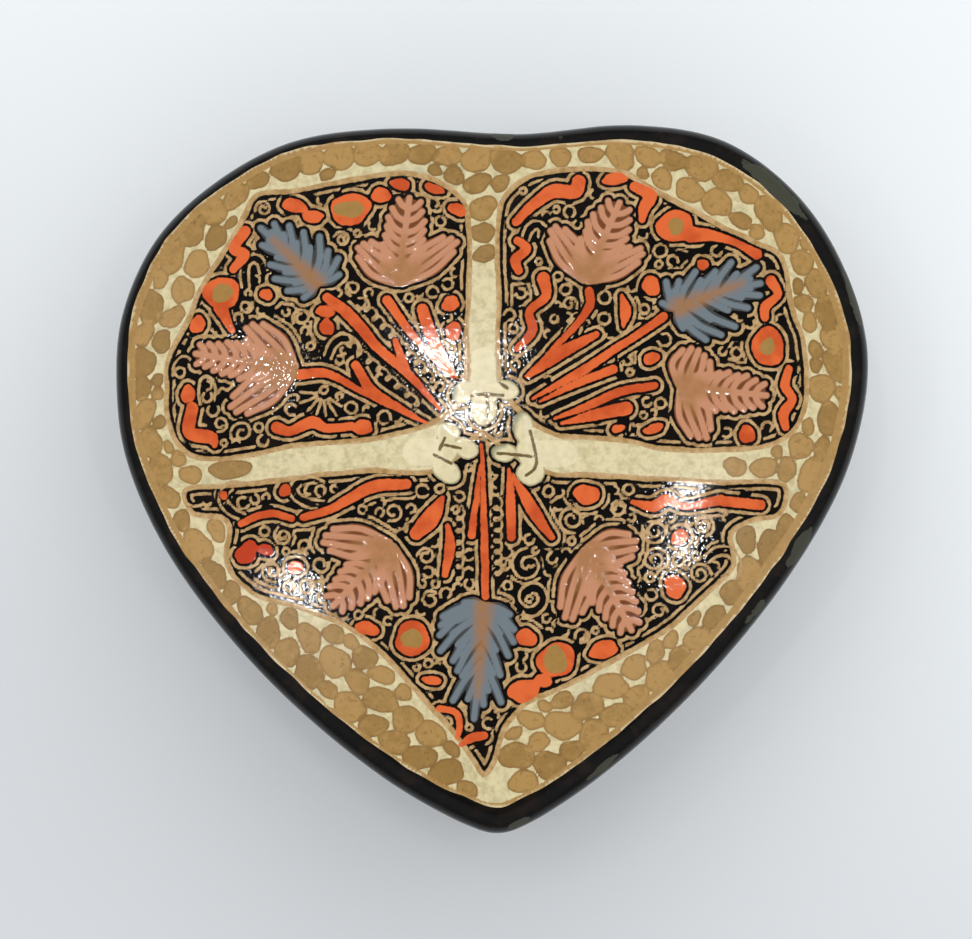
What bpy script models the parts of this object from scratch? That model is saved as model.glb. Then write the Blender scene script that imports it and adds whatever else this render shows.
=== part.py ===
"""A heart-shaped papier-mache trinket box: a base with a raised collar, and a lift-off lid.

Each piece is one moulded shell. Its section is a turned profile with a heart for its circle: every
ring of the shell is the heart's outline, drawn in from the outside by a stated depth. Metres, +Z up,
with the origin under the middle of the box, on the surface it stands on. The two lobes are towards
+Y and the tip is towards -Y.
"""
import math

import bmesh
import bpy
import numpy as np

# The heart's outline
HEART_WIDTH = 0.0819
HEART_LENGTH = 0.0771
TIP_RADIUS = 0.0055
TIP_SIDESTEP = 0.0006
TIP_HALF_TURN = math.radians(24.0)

# The outline is shaped by hand, so its two halves differ a little. Each knot is a share of half the
# width and half the length, in order from the tip up the right side and down the left.
HEART_KNOTS = (
    (0.275, -0.852),
    (0.566, -0.571),
    (0.817, -0.233),
    (0.953, 0.048),
    (1.000, 0.345),
    (0.930, 0.612),
    (0.794, 0.822),
    (0.612, 0.957),
    (0.369, 1.000),
    (0.075, 0.975),
    (-0.270, 0.993),
    (-0.535, 0.955),
    (-0.742, 0.837),
    (-0.896, 0.676),
    (-0.985, 0.460),
    (-0.998, 0.240),
    (-0.970, 0.048),
    (-0.848, -0.233),
    (-0.589, -0.571),
    (-0.275, -0.852),
)

# Heights
BASE_WALL_HEIGHT = 0.0205
LID_SIDE_HEIGHT = 0.0125
CROWN_RISE = 0.0016
COLLAR_RISE = 0.0050

# The thickness of the shells
LID_WALL = 0.0024
LID_TOP = 0.0026
COLLAR_WALL = 0.0018
FLOOR = 0.0026

# The fit between lid and base
SEAM_GAP = 0.0003
COLLAR_CLEARANCE = 0.0003

# Rounded edges and corners
TOP_EDGE_RADIUS = 0.0023
BOTTOM_EDGE_RADIUS = 0.0012
SEAM_EDGE_RADIUS = 0.0004
COLLAR_EDGE_RADIUS = 0.0006
COLLAR_EDGE_SHARE = 0.45
INNER_CORNER_RADIUS = 0.0014

# How finely the shells are divided
STEPS_PER_KNOT = 4
FINE_STEPS_PER_KNOT = 24
EDGE_SEGMENTS = 4
SMALL_EDGE_SEGMENTS = 2
CROWN_RINGS = 5
BISECTIONS = 26

# Finish
BLACK_LACQUER = (0.012, 0.011, 0.010, 1.0)
LACQUER_ROUGHNESS = 0.22
SMOOTH_ANGLE = math.radians(40.0)

QUARTER = math.pi / 2.0


def smooth_closed_curve(knots, steps):
    """Points along a smooth closed curve that passes through every knot in turn."""
    count = len(knots)
    points = []
    for index in range(count):
        p0, p1, p2, p3 = (knots[(index + k - 1) % count] for k in range(4))
        t0 = math.sqrt(np.linalg.norm(p1 - p0))
        t1 = math.sqrt(np.linalg.norm(p2 - p1))
        t2 = math.sqrt(np.linalg.norm(p3 - p2))
        leave = t1 * ((p1 - p0) / t0 - (p2 - p0) / (t0 + t1) + (p2 - p1) / t1)
        arrive = t1 * ((p2 - p1) / t1 - (p3 - p1) / (t1 + t2) + (p3 - p2) / t2)
        for step in range(steps):
            u = step / steps
            points.append(
                (2 * u**3 - 3 * u**2 + 1) * p1
                + (u**3 - 2 * u**2 + u) * leave
                + (3 * u**2 - 2 * u**3) * p2
                + (u**3 - u**2) * arrive
            )
    return np.array(points)


def heart_curve(steps):
    """The heart's outline, fitted exactly to its width and length about the origin."""
    half = np.array((HEART_WIDTH, HEART_LENGTH)) / 2.0
    tip_centre = np.array((TIP_SIDESTEP, TIP_RADIUS - half[1]))
    tip = [
        tip_centre + TIP_RADIUS * np.array((math.sin(turn), -math.cos(turn)))
        for turn in (-TIP_HALF_TURN, 0.0, TIP_HALF_TURN)
    ]
    flanks = [np.array(knot) * half for knot in HEART_KNOTS]
    points = smooth_closed_curve(tip + flanks, steps)
    low, high = points.min(axis=0), points.max(axis=0)
    return (points - (low + high) / 2.0) * (2.0 * half / (high - low))


OUTLINE = heart_curve(STEPS_PER_KNOT)
FINE_OUTLINE = heart_curve(FINE_STEPS_PER_KNOT)


def distance_to_outline(points):
    """Each point's distance to the heart's outline."""
    start = FINE_OUTLINE
    along = np.roll(start, -1, axis=0) - start
    offset = points[:, None, :] - start[None, :, :]
    share = (offset * along).sum(axis=2) / (along**2).sum(axis=1)
    nearest = offset - np.clip(share, 0.0, 1.0)[:, :, None] * along
    return np.sqrt((nearest**2).sum(axis=2).min(axis=1))


def drawn_in(depth):
    """The outline drawn in by a depth, one point on each ray from the middle of the heart."""
    if depth <= 0.0:
        return OUTLINE.copy()
    inner = np.zeros(len(OUTLINE))
    outer = np.ones(len(OUTLINE))
    for _ in range(BISECTIONS):
        middle = (inner + outer) / 2.0
        is_deep = distance_to_outline(OUTLINE * middle[:, None]) >= depth
        inner = np.where(is_deep, middle, inner)
        outer = np.where(is_deep, outer, middle)
    return OUTLINE * inner[:, None]


def ring(depth, height):
    """One ring of a shell, level at a height."""
    flat = drawn_in(depth)
    return np.column_stack((flat, np.full(len(flat), height)))


def rounded(depth, height, radius, start, stop, segments):
    """Rings round an edge: an arc about (depth, height), its angles taken from the outward level."""
    rings = []
    for step in range(segments + 1):
        angle = start + (stop - start) * step / segments
        rings.append(ring(depth - radius * math.cos(angle), height + radius * math.sin(angle)))
    return rings


def domed(rim, rise, count):
    """Rings that close in from a rim over a shallow dome, without its middle point."""
    rings = []
    for step in range(1, count):
        share = 1.0 - step / count
        level = rim * share
        level[:, 2] = rim[:, 2] + rise * (1.0 - share**2)
        rings.append(level)
    return rings


def lofted_shell(name, rings, first_middle, last_middle):
    """A closed shell over a stack of rings, each end closed by a fan to its middle point."""
    bm = bmesh.new()
    loops = [[bm.verts.new(point) for point in level] for level in rings]
    count = len(OUTLINE)
    for lower, upper in zip(loops, loops[1:]):
        for index in range(count):
            after = (index + 1) % count
            bm.faces.new((lower[index], lower[after], upper[after], upper[index]))
    first = bm.verts.new(first_middle)
    last = bm.verts.new(last_middle)
    for index in range(count):
        after = (index + 1) % count
        bm.faces.new((first, loops[0][after], loops[0][index]))
        bm.faces.new((last, loops[-1][index], loops[-1][after]))
    bmesh.ops.recalc_face_normals(bm, faces=bm.faces)
    mesh = bpy.data.meshes.new(name)
    bm.to_mesh(mesh)
    bm.free()
    mesh.shade_smooth()
    mesh.set_sharp_from_angle(angle=SMOOTH_ANGLE)
    return mesh


def lacquer(name):
    """Glossy black lacquer over papier-mache."""
    material = bpy.data.materials.new(name)
    material.use_nodes = True
    shader = material.node_tree.nodes["Principled BSDF"]
    shader.inputs["Base Color"].default_value = BLACK_LACQUER
    shader.inputs["Roughness"].default_value = LACQUER_ROUGHNESS
    shader.inputs["Metallic"].default_value = 0.0
    return material


def place(name, mesh, collection, parent):
    """One named sub-part, with its own material, under the box's empty."""
    piece = bpy.data.objects.new(name, mesh)
    mesh.materials.append(lacquer(name + "_lacquer"))
    collection.objects.link(piece)
    piece.parent = parent
    return piece


def make_base():
    """The base: floor, walls and the raised collar inside them, one moulded shell."""
    collar_outside = LID_WALL + COLLAR_CLEARANCE
    inside = collar_outside + COLLAR_WALL
    collar_edge = min(COLLAR_EDGE_RADIUS, COLLAR_EDGE_SHARE * COLLAR_WALL)
    collar_edge_height = BASE_WALL_HEIGHT + COLLAR_RISE - collar_edge
    rings = rounded(
        BOTTOM_EDGE_RADIUS, BOTTOM_EDGE_RADIUS, BOTTOM_EDGE_RADIUS, -QUARTER, 0.0, EDGE_SEGMENTS
    )
    rings += rounded(
        SEAM_EDGE_RADIUS,
        BASE_WALL_HEIGHT - SEAM_EDGE_RADIUS,
        SEAM_EDGE_RADIUS,
        0.0,
        QUARTER,
        SMALL_EDGE_SEGMENTS,
    )
    rings.append(ring(collar_outside, BASE_WALL_HEIGHT))
    rings += rounded(
        collar_outside + collar_edge,
        collar_edge_height,
        collar_edge,
        0.0,
        QUARTER,
        SMALL_EDGE_SEGMENTS,
    )
    rings += rounded(
        inside - collar_edge,
        collar_edge_height,
        collar_edge,
        QUARTER,
        2.0 * QUARTER,
        SMALL_EDGE_SEGMENTS,
    )
    rings += rounded(
        inside + INNER_CORNER_RADIUS,
        FLOOR + INNER_CORNER_RADIUS,
        INNER_CORNER_RADIUS,
        0.0,
        -QUARTER,
        EDGE_SEGMENTS,
    )
    return lofted_shell("base", rings, (0.0, 0.0, 0.0), (0.0, 0.0, FLOOR))


def make_lid():
    """The lid: a low side wall and a gently domed top, one moulded shell, hollow underneath."""
    rim = BASE_WALL_HEIGHT + SEAM_GAP
    shoulder = rim + LID_SIDE_HEIGHT
    ceiling = shoulder - LID_TOP
    rings = rounded(
        LID_WALL + INNER_CORNER_RADIUS,
        ceiling - INNER_CORNER_RADIUS,
        INNER_CORNER_RADIUS,
        QUARTER,
        0.0,
        EDGE_SEGMENTS,
    )
    rings = domed(rings[0], CROWN_RISE, CROWN_RINGS)[::-1] + rings
    rings.append(ring(LID_WALL, rim))
    rings += rounded(
        SEAM_EDGE_RADIUS, rim + SEAM_EDGE_RADIUS, SEAM_EDGE_RADIUS, -QUARTER, 0.0, SMALL_EDGE_SEGMENTS
    )
    rings += rounded(
        TOP_EDGE_RADIUS, shoulder - TOP_EDGE_RADIUS, TOP_EDGE_RADIUS, 0.0, QUARTER, EDGE_SEGMENTS
    )
    rings += domed(rings[-1], CROWN_RISE, CROWN_RINGS)
    return lofted_shell(
        "lid", rings, (0.0, 0.0, ceiling + CROWN_RISE), (0.0, 0.0, shoulder + CROWN_RISE)
    )


def main():
    for old in list(bpy.data.objects):
        bpy.data.objects.remove(old, do_unlink=True)
    collection = bpy.data.collections.new("papier_mache_trinket_box")
    bpy.context.scene.collection.children.link(collection)
    box = bpy.data.objects.new("trinket_box", None)
    collection.objects.link(box)
    place("base", make_base(), collection, box)
    place("lid", make_lid(), collection, box)


main()
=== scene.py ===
"""The looks of a heart-shaped papier-mache trinket box: black lacquer with a hand-painted lid.

The lid's picture is painted here as it is on the real box, stroke by stroke: a black ground, a cream
border with gold-brown dots, three black fields with leaves, flowers and rays, and gold scrollwork in
what is left. Each stroke is laid on a fine lattice over the lid, which holds how far every point is
from the edge of each paint. The lattice becomes the skin of paint on the lid, and its material turns
the distances into crisp edges. Plan sizes are in millimetres from the middle of the lid, with +X
towards the right lobe and +Y towards the two lobes.
"""

import itertools
import math
import random

import bmesh
import bpy
import numpy as np
from mathutils import Matrix, Vector, noise


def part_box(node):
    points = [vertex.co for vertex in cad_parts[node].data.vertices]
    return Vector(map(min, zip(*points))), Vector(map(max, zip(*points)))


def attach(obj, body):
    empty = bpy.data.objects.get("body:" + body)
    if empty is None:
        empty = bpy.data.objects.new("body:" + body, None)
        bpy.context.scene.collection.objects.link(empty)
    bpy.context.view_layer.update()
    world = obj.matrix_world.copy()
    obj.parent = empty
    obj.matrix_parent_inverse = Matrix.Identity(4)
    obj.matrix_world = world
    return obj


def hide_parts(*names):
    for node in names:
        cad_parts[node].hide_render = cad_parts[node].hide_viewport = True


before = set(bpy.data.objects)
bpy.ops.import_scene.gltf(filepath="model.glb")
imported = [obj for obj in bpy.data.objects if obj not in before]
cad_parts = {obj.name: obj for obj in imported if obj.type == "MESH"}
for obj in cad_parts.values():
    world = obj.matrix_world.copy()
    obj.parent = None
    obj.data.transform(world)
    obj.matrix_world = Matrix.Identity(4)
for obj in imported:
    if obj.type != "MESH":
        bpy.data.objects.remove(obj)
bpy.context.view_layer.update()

MM = 0.001
BODY = "root"

# The shells, as they are in the solids
LID_LOW, LID_HIGH = (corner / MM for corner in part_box("lid"))
BASE_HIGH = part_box("base")[1] / MM
CROWN_RISE = 1.6
COLLAR_RISE = 5.0
LID_WALL = 2.4
LID_TOP = 2.6
COLLAR_WALL = 1.8
COLLAR_CLEARANCE = 0.3
FLOOR = 2.6
TOP_EDGE_RADIUS = 2.3
BOTTOM_EDGE_RADIUS = 1.2
SEAM_EDGE_RADIUS = 0.4
COLLAR_EDGE_RADIUS = 0.6
INNER_CORNER_RADIUS = 1.4
SHOULDER = LID_HIGH.z - CROWN_RISE

# How finely the shells are made
OUTLINE_STEPS = 6
EDGE_SEGMENTS = 8
SMALL_SEGMENTS = 3
CROWN_RINGS = 14
FLAT_RINGS = 4
WALL_RINGS = 8
QUARTER = math.pi / 2.0

# How uneven a hand-moulded shell is
TOP_WAVE = 0.03
TOP_WAVE_LENGTH = 17.0
TOP_SEED = 4.0
WALL_WAVE = 0.07
WALL_WAVE_LENGTH = 13.0

# The lattice that the paint is laid on
LATTICE = 0.209
FAR = 3.0
REACH = 1.3
RUN = 8
DIGITS = 6
PAINT_THICKNESS = 0.05
PAINT_TUCK = 0.45

# The black margin round the painting: the heading in degrees, and its width there
MARGIN = (
    (0.0, 1.75), (30.0, 2.1), (55.0, 2.35), (80.0, 1.65), (100.0, 1.45), (135.0, 1.15),
    (180.0, 1.6), (220.0, 2.1), (250.0, 2.4), (270.0, 2.9), (290.0, 2.5), (330.0, 2.1),
)

# The gold band at the painting's edge: the heading in degrees, and its width there
BAND = (
    (0.0, 1.3), (45.0, 0.6), (90.0, 0.6), (135.0, 0.95), (180.0, 0.95), (225.0, 0.5), (270.0, 0.5),
    (315.0, 1.0),
)

# The painter's hand
LINE_WIDTH = 0.33
LINE_GAP = 0.27
LEAST_GAP = 0.45 * LINE_GAP
CURL_GAP = 0.11
FIELD_LINE_WIDTH = 0.56
MOTIF_LINE_OFFSET = 0.46
FIELD_LINE_OFFSET = 0.80
ECHO_ROOM = 1.3
LINE_CLEARANCE = 0.30
FIELD_LINE_CLEARANCE = 0.26
ECHO_CELLS = 5
SMALLEST_CURL = 0.22
MOST_CURLS = 2600
GOLD_CELLS = 8

# How much of each kind of gold line is drawn before it breaks off, and how sharply it ends
MOTIF_LINE_SHARE = 0.34
FIELD_LINE_SHARE = 0.30
ECHO_SHARE = 0.28
BREAK_SLOPE = 3.0
BREAK_LENGTH = 2.6
WOBBLE = 0.10
WOBBLE_LENGTH = 2.2
WOBBLE_SEEDS = (7.3, 31.7)

hand = random.Random(27)


# Lines and outlines


def rows(values):
    """A list of points, with any further values in each row, as an array."""
    return np.array(values, dtype=float)


def curve_between(p1, p2, leave, arrive, u):
    """Points from one knot to the next, given the curve's direction at both."""
    return (
        (2 * u**3 - 3 * u**2 + 1) * p1
        + (u**3 - 2 * u**2 + u) * leave
        + (3 * u**2 - 2 * u**3) * p2
        + (u**3 - u**2) * arrive
    )


def smooth_line(knots, closed=False, spacing=0.32):
    """A smooth line through the knots. Further columns, such as width, follow along."""
    knots = rows(knots)
    if len(knots) < 3 and not closed:
        steps = max(2, int(np.linalg.norm(knots[1, :2] - knots[0, :2]) / spacing))
        share = np.linspace(0.0, 1.0, steps + 1)[:, None]
        return knots[0] * (1.0 - share) + knots[1] * share
    if closed:
        chain = np.vstack((knots[-1:], knots, knots[:2]))
    else:
        chain = np.vstack((2 * knots[0] - knots[1], knots, 2 * knots[-1] - knots[-2]))
    pieces = []
    for p0, p1, p2, p3 in zip(chain, chain[1:], chain[2:], chain[3:]):
        t0, t1, t2 = (
            math.sqrt(max(1e-6, np.linalg.norm((after - before)[:2])))
            for before, after in ((p0, p1), (p1, p2), (p2, p3))
        )
        leave = t1 * ((p1 - p0) / t0 - (p2 - p0) / (t0 + t1) + (p2 - p1) / t1)
        arrive = t1 * ((p2 - p1) / t1 - (p3 - p1) / (t1 + t2) + (p3 - p2) / t2)
        steps = max(1, int(np.linalg.norm((p2 - p1)[:2]) / spacing))
        pieces.append(curve_between(p1, p2, leave, arrive, (np.arange(steps) / steps)[:, None]))
    if not closed:
        pieces.append(knots[-1:])
    return np.vstack(pieces)


def solid_outline(node):
    """The outline of a solid seen from above: its farthest corner on each ray from the middle."""
    corners = rows([corner.co[:2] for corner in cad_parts[node].data.vertices]) / MM
    corners = corners[np.hypot(*corners.T) > 1.0]
    headings = np.arctan2(corners[:, 1], corners[:, 0])
    order = np.argsort(headings)
    corners, headings = corners[order], headings[order]
    breaks = np.flatnonzero(np.diff(headings) > 0.004) + 1
    return rows([ray[np.argmax(np.hypot(*ray.T))] for ray in np.split(corners, breaks)])


def divided(knots, steps):
    """A closed smooth line with the same number of steps between each two knots."""
    count = len(knots)
    points = []
    for index in range(count):
        p0, p1, p2, p3 = (knots[(index + k - 1) % count] for k in range(4))
        leave, arrive = (p2 - p0) / 2.0, (p3 - p1) / 2.0
        points += [curve_between(p1, p2, leave, arrive, step / steps) for step in range(steps)]
    return rows(points)


OUTLINE = divided(solid_outline("lid"), OUTLINE_STEPS)
HEADINGS = np.arctan2(OUTLINE[:, 1], OUTLINE[:, 0])
REACHES = np.hypot(*OUTLINE.T)


def at_heading(points, values):
    """Values known along the outline, read at the heading of each point."""
    order = np.argsort(HEADINGS)
    headings = np.arctan2(points[:, 1], points[:, 0])
    return np.interp(headings, HEADINGS[order], values[order], period=2.0 * math.pi)


def distance_to(line, points, step=4000):
    """Each point's distance to a closed line."""
    along = np.roll(line, -1, axis=0) - line
    length = (along**2).sum(axis=1)
    found = []
    for start in range(0, len(points), step):
        offset = points[start : start + step, None, :] - line[None, :, :]
        share = np.clip((offset * along).sum(axis=2) / length, 0.0, 1.0)
        nearest = offset - share[:, :, None] * along
        found.append(np.sqrt((nearest**2).sum(axis=2).min(axis=1)))
    return np.concatenate(found)


def drawn_in(depth):
    """The outline drawn in by a depth, each point kept on its ray from the middle."""
    share = np.ones(len(OUTLINE))
    if depth <= 0.0:
        return OUTLINE.copy()
    share -= depth / REACHES
    for _ in range(7):
        share += (distance_to(OUTLINE, OUTLINE * share[:, None]) - depth) / REACHES
    return OUTLINE * share[:, None]


INNER_REACHES = np.hypot(*drawn_in(TOP_EDGE_RADIUS).T)
MARGIN_WIDTHS, BAND_WIDTHS = (
    np.interp(np.degrees(HEADINGS) % 360.0, *rows(table).T, period=360.0) for table in (MARGIN, BAND)
)


def wave(points, length, seed):
    """A slow, uneven swell over the points, from about -1 to 1."""
    return rows([2.0 * noise.noise(Vector((x / length, y / length, seed))) for x, y in points])


def top_height(points, depths):
    """The height of the lid's top over points in plan, given their depths inside its outline."""
    edge = np.clip(TOP_EDGE_RADIUS - depths, 0.0, TOP_EDGE_RADIUS)
    rounded_off = TOP_EDGE_RADIUS - np.sqrt(TOP_EDGE_RADIUS**2 - edge**2)
    share = np.clip(np.hypot(*points.T) / at_heading(points, INNER_REACHES), 0.0, 1.0)
    return SHOULDER - rounded_off + CROWN_RISE * (1.0 - share**2)


def top_swells(points):
    """The hand-made swells of the lid's top."""
    return TOP_WAVE * wave(points, TOP_WAVE_LENGTH, TOP_SEED)


def lid_heights(points):
    """The height of the lid's top, with its swells."""
    return top_height(points, distance_to(OUTLINE, points)) + top_swells(points)


# The shells


def ring(depth, height, is_outside=False):
    """One level ring of a shell, in mm. A ring outside follows the unevenness of the wall."""
    flat = drawn_in(depth)
    if is_outside:
        swell = [noise.noise(Vector((x, y, height)) / WALL_WAVE_LENGTH) for x, y in flat]
        flat = flat * (1.0 + WALL_WAVE * rows(swell) / REACHES)[:, None]
    return np.column_stack((flat, np.full(len(flat), height)))


def rounded(depth, height, radius, start, stop, segments, is_outside=False):
    """Rings round an edge: an arc about (depth, height), its angles taken from the outward level."""
    made = []
    for step in range(segments + 1):
        angle = start + (stop - start) * step / segments
        place = (depth - radius * math.cos(angle), height + radius * math.sin(angle))
        made.append(ring(*place, is_outside))
    return made


def walled(low, high, count):
    """Rings up an outer wall, between its two rounded edges."""
    return [ring(0.0, low + (high - low) * step / count, True) for step in range(1, count)]


def domed(rim, rise, count):
    """Rings that close in from a rim over a shallow dome, without its middle point."""
    made = []
    for step in range(1, count):
        share = 1.0 - step / count
        level = rim * share
        level[:, 2] = rim[:, 2] + rise * (1.0 - share**2)
        made.append(level)
    return made


def pulled_shell(rings, first_middle, last_middle):
    """A closed shell: a circle's edge is pulled from ring to ring, and each end merged to a point."""
    bm = bmesh.new()
    column = bm.verts.layers.int.new("column")
    circle = bmesh.ops.create_circle(bm, segments=len(OUTLINE), radius=1.0)["verts"]
    circle.sort(key=lambda corner: corner.index)
    for index, corner in enumerate(circle):
        corner[column] = index
        corner.co = Vector(rings[0][index]) * MM
    first_edges = list(bm.edges)

    def pull(edges, places):
        grown = bmesh.ops.extrude_edge_only(bm, edges=edges)["geom"]
        corners = [item for item in grown if isinstance(item, bmesh.types.BMVert)]
        for corner in corners:
            corner.co = Vector(places[corner[column]]) * MM
        return corners, [item for item in grown if isinstance(item, bmesh.types.BMEdge)]

    edges = first_edges
    for level in rings[1:]:
        edges = pull(edges, level)[1]
    for end_edges, middle in ((edges, last_middle), (first_edges, first_middle)):
        spread = np.tile(middle, (len(OUTLINE), 1))
        corners = pull(end_edges, spread)[0]
        bmesh.ops.pointmerge(bm, verts=corners, merge_co=Vector(middle) * MM)
    bmesh.ops.recalc_face_normals(bm, faces=bm.faces)
    return bm


def finished(name, bm, sharp_angle=math.radians(50.0)):
    """A finished piece: its object at the origin, smooth shaded, riding on the box."""
    mesh = bpy.data.meshes.new(name)
    bm.to_mesh(mesh)
    bm.free()
    mesh.shade_smooth()
    mesh.set_sharp_from_angle(angle=sharp_angle)
    piece = bpy.data.objects.new(name, mesh)
    bpy.context.scene.collection.objects.link(piece)
    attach(piece, BODY)
    return piece


def add_numbers(piece, name, values):
    """Gives each corner of a piece a number that its material can read."""
    numbers = piece.data.attributes.new(name, "FLOAT", "POINT")
    numbers.data.foreach_set("value", np.asarray(values, dtype=np.float32))


def make_lid_shell():
    """The lid without its painting: the side wall, the rounded edge, the top and the hollow."""
    rim = LID_LOW.z
    ceiling = SHOULDER - LID_TOP
    inner, seam, top = INNER_CORNER_RADIUS, SEAM_EDGE_RADIUS, TOP_EDGE_RADIUS
    rings = rounded(LID_WALL + inner, ceiling - inner, inner, QUARTER, 0.0, EDGE_SEGMENTS)
    rings = domed(rings[0], CROWN_RISE, CROWN_RINGS // 2)[::-1] + rings
    rings.append(ring(LID_WALL, rim))
    rings += rounded(seam, rim + seam, seam, -QUARTER, 0.0, SMALL_SEGMENTS, True)
    rings += walled(rim + seam, SHOULDER - top, WALL_RINGS)
    rings += rounded(top, SHOULDER - top, top, 0.0, QUARTER, EDGE_SEGMENTS, True)
    rings += domed(rings[-1], CROWN_RISE, CROWN_RINGS)
    bm = pulled_shell(rings, (0.0, 0.0, ceiling + CROWN_RISE), (0.0, 0.0, SHOULDER + CROWN_RISE))
    sag_top(bm)
    piece = finished("lid_shell", bm)
    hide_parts("lid")
    return piece


def sag_top(bm):
    """Lets the lid's top rise and sink a little, more the farther a corner is from the edge."""
    low = SHOULDER - TOP_EDGE_RADIUS
    corners = [corner for corner in bm.verts if corner.co.z / MM > low]
    plan = rows([corner.co[:2] for corner in corners]) / MM
    for corner, swell in zip(corners, top_swells(plan)):
        share = min(1.0, (corner.co.z / MM - low) / TOP_EDGE_RADIUS)
        corner.co.z += swell * share * MM


def make_base_shell():
    """The base: the flat underside, the outer wall, the raised collar, and the hollow inside it."""
    collar_outside = LID_WALL + COLLAR_CLEARANCE
    inside = collar_outside + COLLAR_WALL
    seam = BASE_HIGH.z - COLLAR_RISE
    bottom, edge, inner = BOTTOM_EDGE_RADIUS, SEAM_EDGE_RADIUS, INNER_CORNER_RADIUS
    collar = COLLAR_EDGE_RADIUS
    rings = domed(ring(bottom, 0.0), 0.0, FLAT_RINGS)[::-1]
    rings += rounded(bottom, bottom, bottom, -QUARTER, 0.0, EDGE_SEGMENTS, True)
    rings += walled(bottom, seam - edge, WALL_RINGS)
    rings += rounded(edge, seam - edge, edge, 0.0, QUARTER, SMALL_SEGMENTS, True)
    rings.append(ring(collar_outside, seam))
    for centre, start in ((collar_outside + collar, 0.0), (inside - collar, QUARTER)):
        turn = (start, start + QUARTER)
        rings += rounded(centre, BASE_HIGH.z - collar, collar, *turn, SMALL_SEGMENTS)
    rings += rounded(inside + inner, FLOOR + inner, inner, 0.0, -QUARTER, EDGE_SEGMENTS)
    rings += domed(rings[-1], 0.0, FLAT_RINGS)
    bm = pulled_shell(rings, (0.0, 0.0, 0.0), (0.0, 0.0, FLOOR))
    piece = finished("base_shell", bm)
    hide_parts("base")
    return piece


# The painter's lattice

PAINTS = (
    "ground", "border_line", "border_band", "dots", "orange", "pink", "blue", "ribs", "rib_core",
    "hearts", "gold", "knobs", "knob_light", "knob_lines", "red", "edge",
)
MOTIFS = ("orange", "pink", "blue", "hearts", "red", "knobs")


class PaintMap:
    """How far each point of a square lattice over the lid is from each paint, in mm.

    A value below 0 is inside the paint. Only the distances near an edge matter, so a stroke changes
    the lattice round itself alone.
    """

    def __init__(self):
        self.low = OUTLINE.min(axis=0)
        count = np.ceil((OUTLINE.max(axis=0) - self.low) / LATTICE).astype(int) + 1
        self.x = self.low[0] + LATTICE * np.arange(count[0])
        self.y = self.low[1] + LATTICE * np.arange(count[1])
        self.paint = {name: np.full((count[1], count[0]), FAR) for name in PAINTS}
        self.tone = np.zeros((count[1], count[0]))
        grid = np.meshgrid(self.x, self.y)
        self.plan = np.column_stack((grid[0].ravel(), grid[1].ravel()))

    def window(self, points, reach):
        """The rows and columns round some points, and the plan places there."""
        low = np.floor((points.min(axis=0) - reach - self.low) / LATTICE).astype(int)
        high = np.ceil((points.max(axis=0) + reach - self.low) / LATTICE).astype(int) + 1
        low = np.maximum(low, 0)
        across = slice(low[0], min(high[0], len(self.x)))
        down = slice(low[1], min(high[1], len(self.y)))
        return (down, across), *np.meshgrid(self.x[across], self.y[down])

    def stroke(self, name, line, widths):
        """Lays a brush stroke along a line, with a width at each of its points."""
        line = rows(line)[:, :2]
        widths = np.broadcast_to(widths, len(line))
        for start in range(0, len(line) - 1, RUN):
            stretch, wide = line[start : start + RUN + 1], widths[start : start + RUN + 1]
            where, x, y = self.window(stretch, wide.max() / 2.0 + REACH)
            if not x.size:
                continue
            near = offset_to(stretch[:-1], stretch[1:], x, y, wide / 2.0)
            field = self.paint[name][where]
            np.minimum(field, near, out=field)

    def fill(self, name, outline, tone=None):
        """Fills a closed outline with a paint. A tone marks it lighter or darker than its kind."""
        where, x, y = self.window(outline, REACH)
        after = np.roll(outline, -1, axis=0)
        near = offset_to(outline, after, x, y)
        is_inside = np.zeros(x.shape, dtype=bool)
        for (x0, y0), (x1, y1) in zip(outline, after):
            if y0 != y1:
                crosses = (y0 > y) != (y1 > y)
                is_inside ^= crosses & (x < (x1 - x0) * (y - y0) / (y1 - y0) + x0)
        signed = np.where(is_inside, -near, near)
        field = self.paint[name][where]
        np.minimum(field, signed, out=field)
        if tone is not None:
            self.tone[where][signed < 0.3] = tone

    def near(self, name, x, y):
        """The value of a paint at one place."""
        column, row = np.round((np.array((x, y)) - self.low) / LATTICE).astype(int)
        return self.paint[name][row, column]


def offset_to(starts, ends, x, y, half_widths=None):
    """The least distance from places to some straight pieces, less their half widths.

    It is rounded, so that every run lays the same painting.
    """
    along = ends - starts
    length = np.maximum((along**2).sum(axis=1), 1e-9)[:, None, None]
    from_x = x[None] - starts[:, 0, None, None]
    from_y = y[None] - starts[:, 1, None, None]
    along_x, along_y = along[:, 0, None, None], along[:, 1, None, None]
    share = np.clip((from_x * along_x + from_y * along_y) / length, 0.0, 1.0)
    distance = np.hypot(from_x - share * along_x, from_y - share * along_y)
    if half_widths is not None:
        first, last = half_widths[:-1, None, None], half_widths[1:, None, None]
        distance = distance - (first + share * (last - first))
    return np.round(distance.min(axis=0), DIGITS)


def wobbled(line, amount=WOBBLE):
    """A line with the small waver of a hand in it."""
    line = rows(line)
    for point in line:
        x, y = point[:2] / WOBBLE_LENGTH
        point[:2] += [amount * noise.noise(Vector((x, y, seed))) for seed in WOBBLE_SEEDS]
    return line


# Strokes and motifs


def brush(chart, name, knots, width=None):
    """One stroke through some knots of x, y and width, or of x and y with one width for all."""
    knots = rows(knots)
    if width is not None:
        knots = np.column_stack((knots[:, :2], np.full(len(knots), width)))
    line = wobbled(smooth_line(knots))
    chart.stroke(name, line[:, :2], np.maximum(line[:, 2], 0.05))


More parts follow.
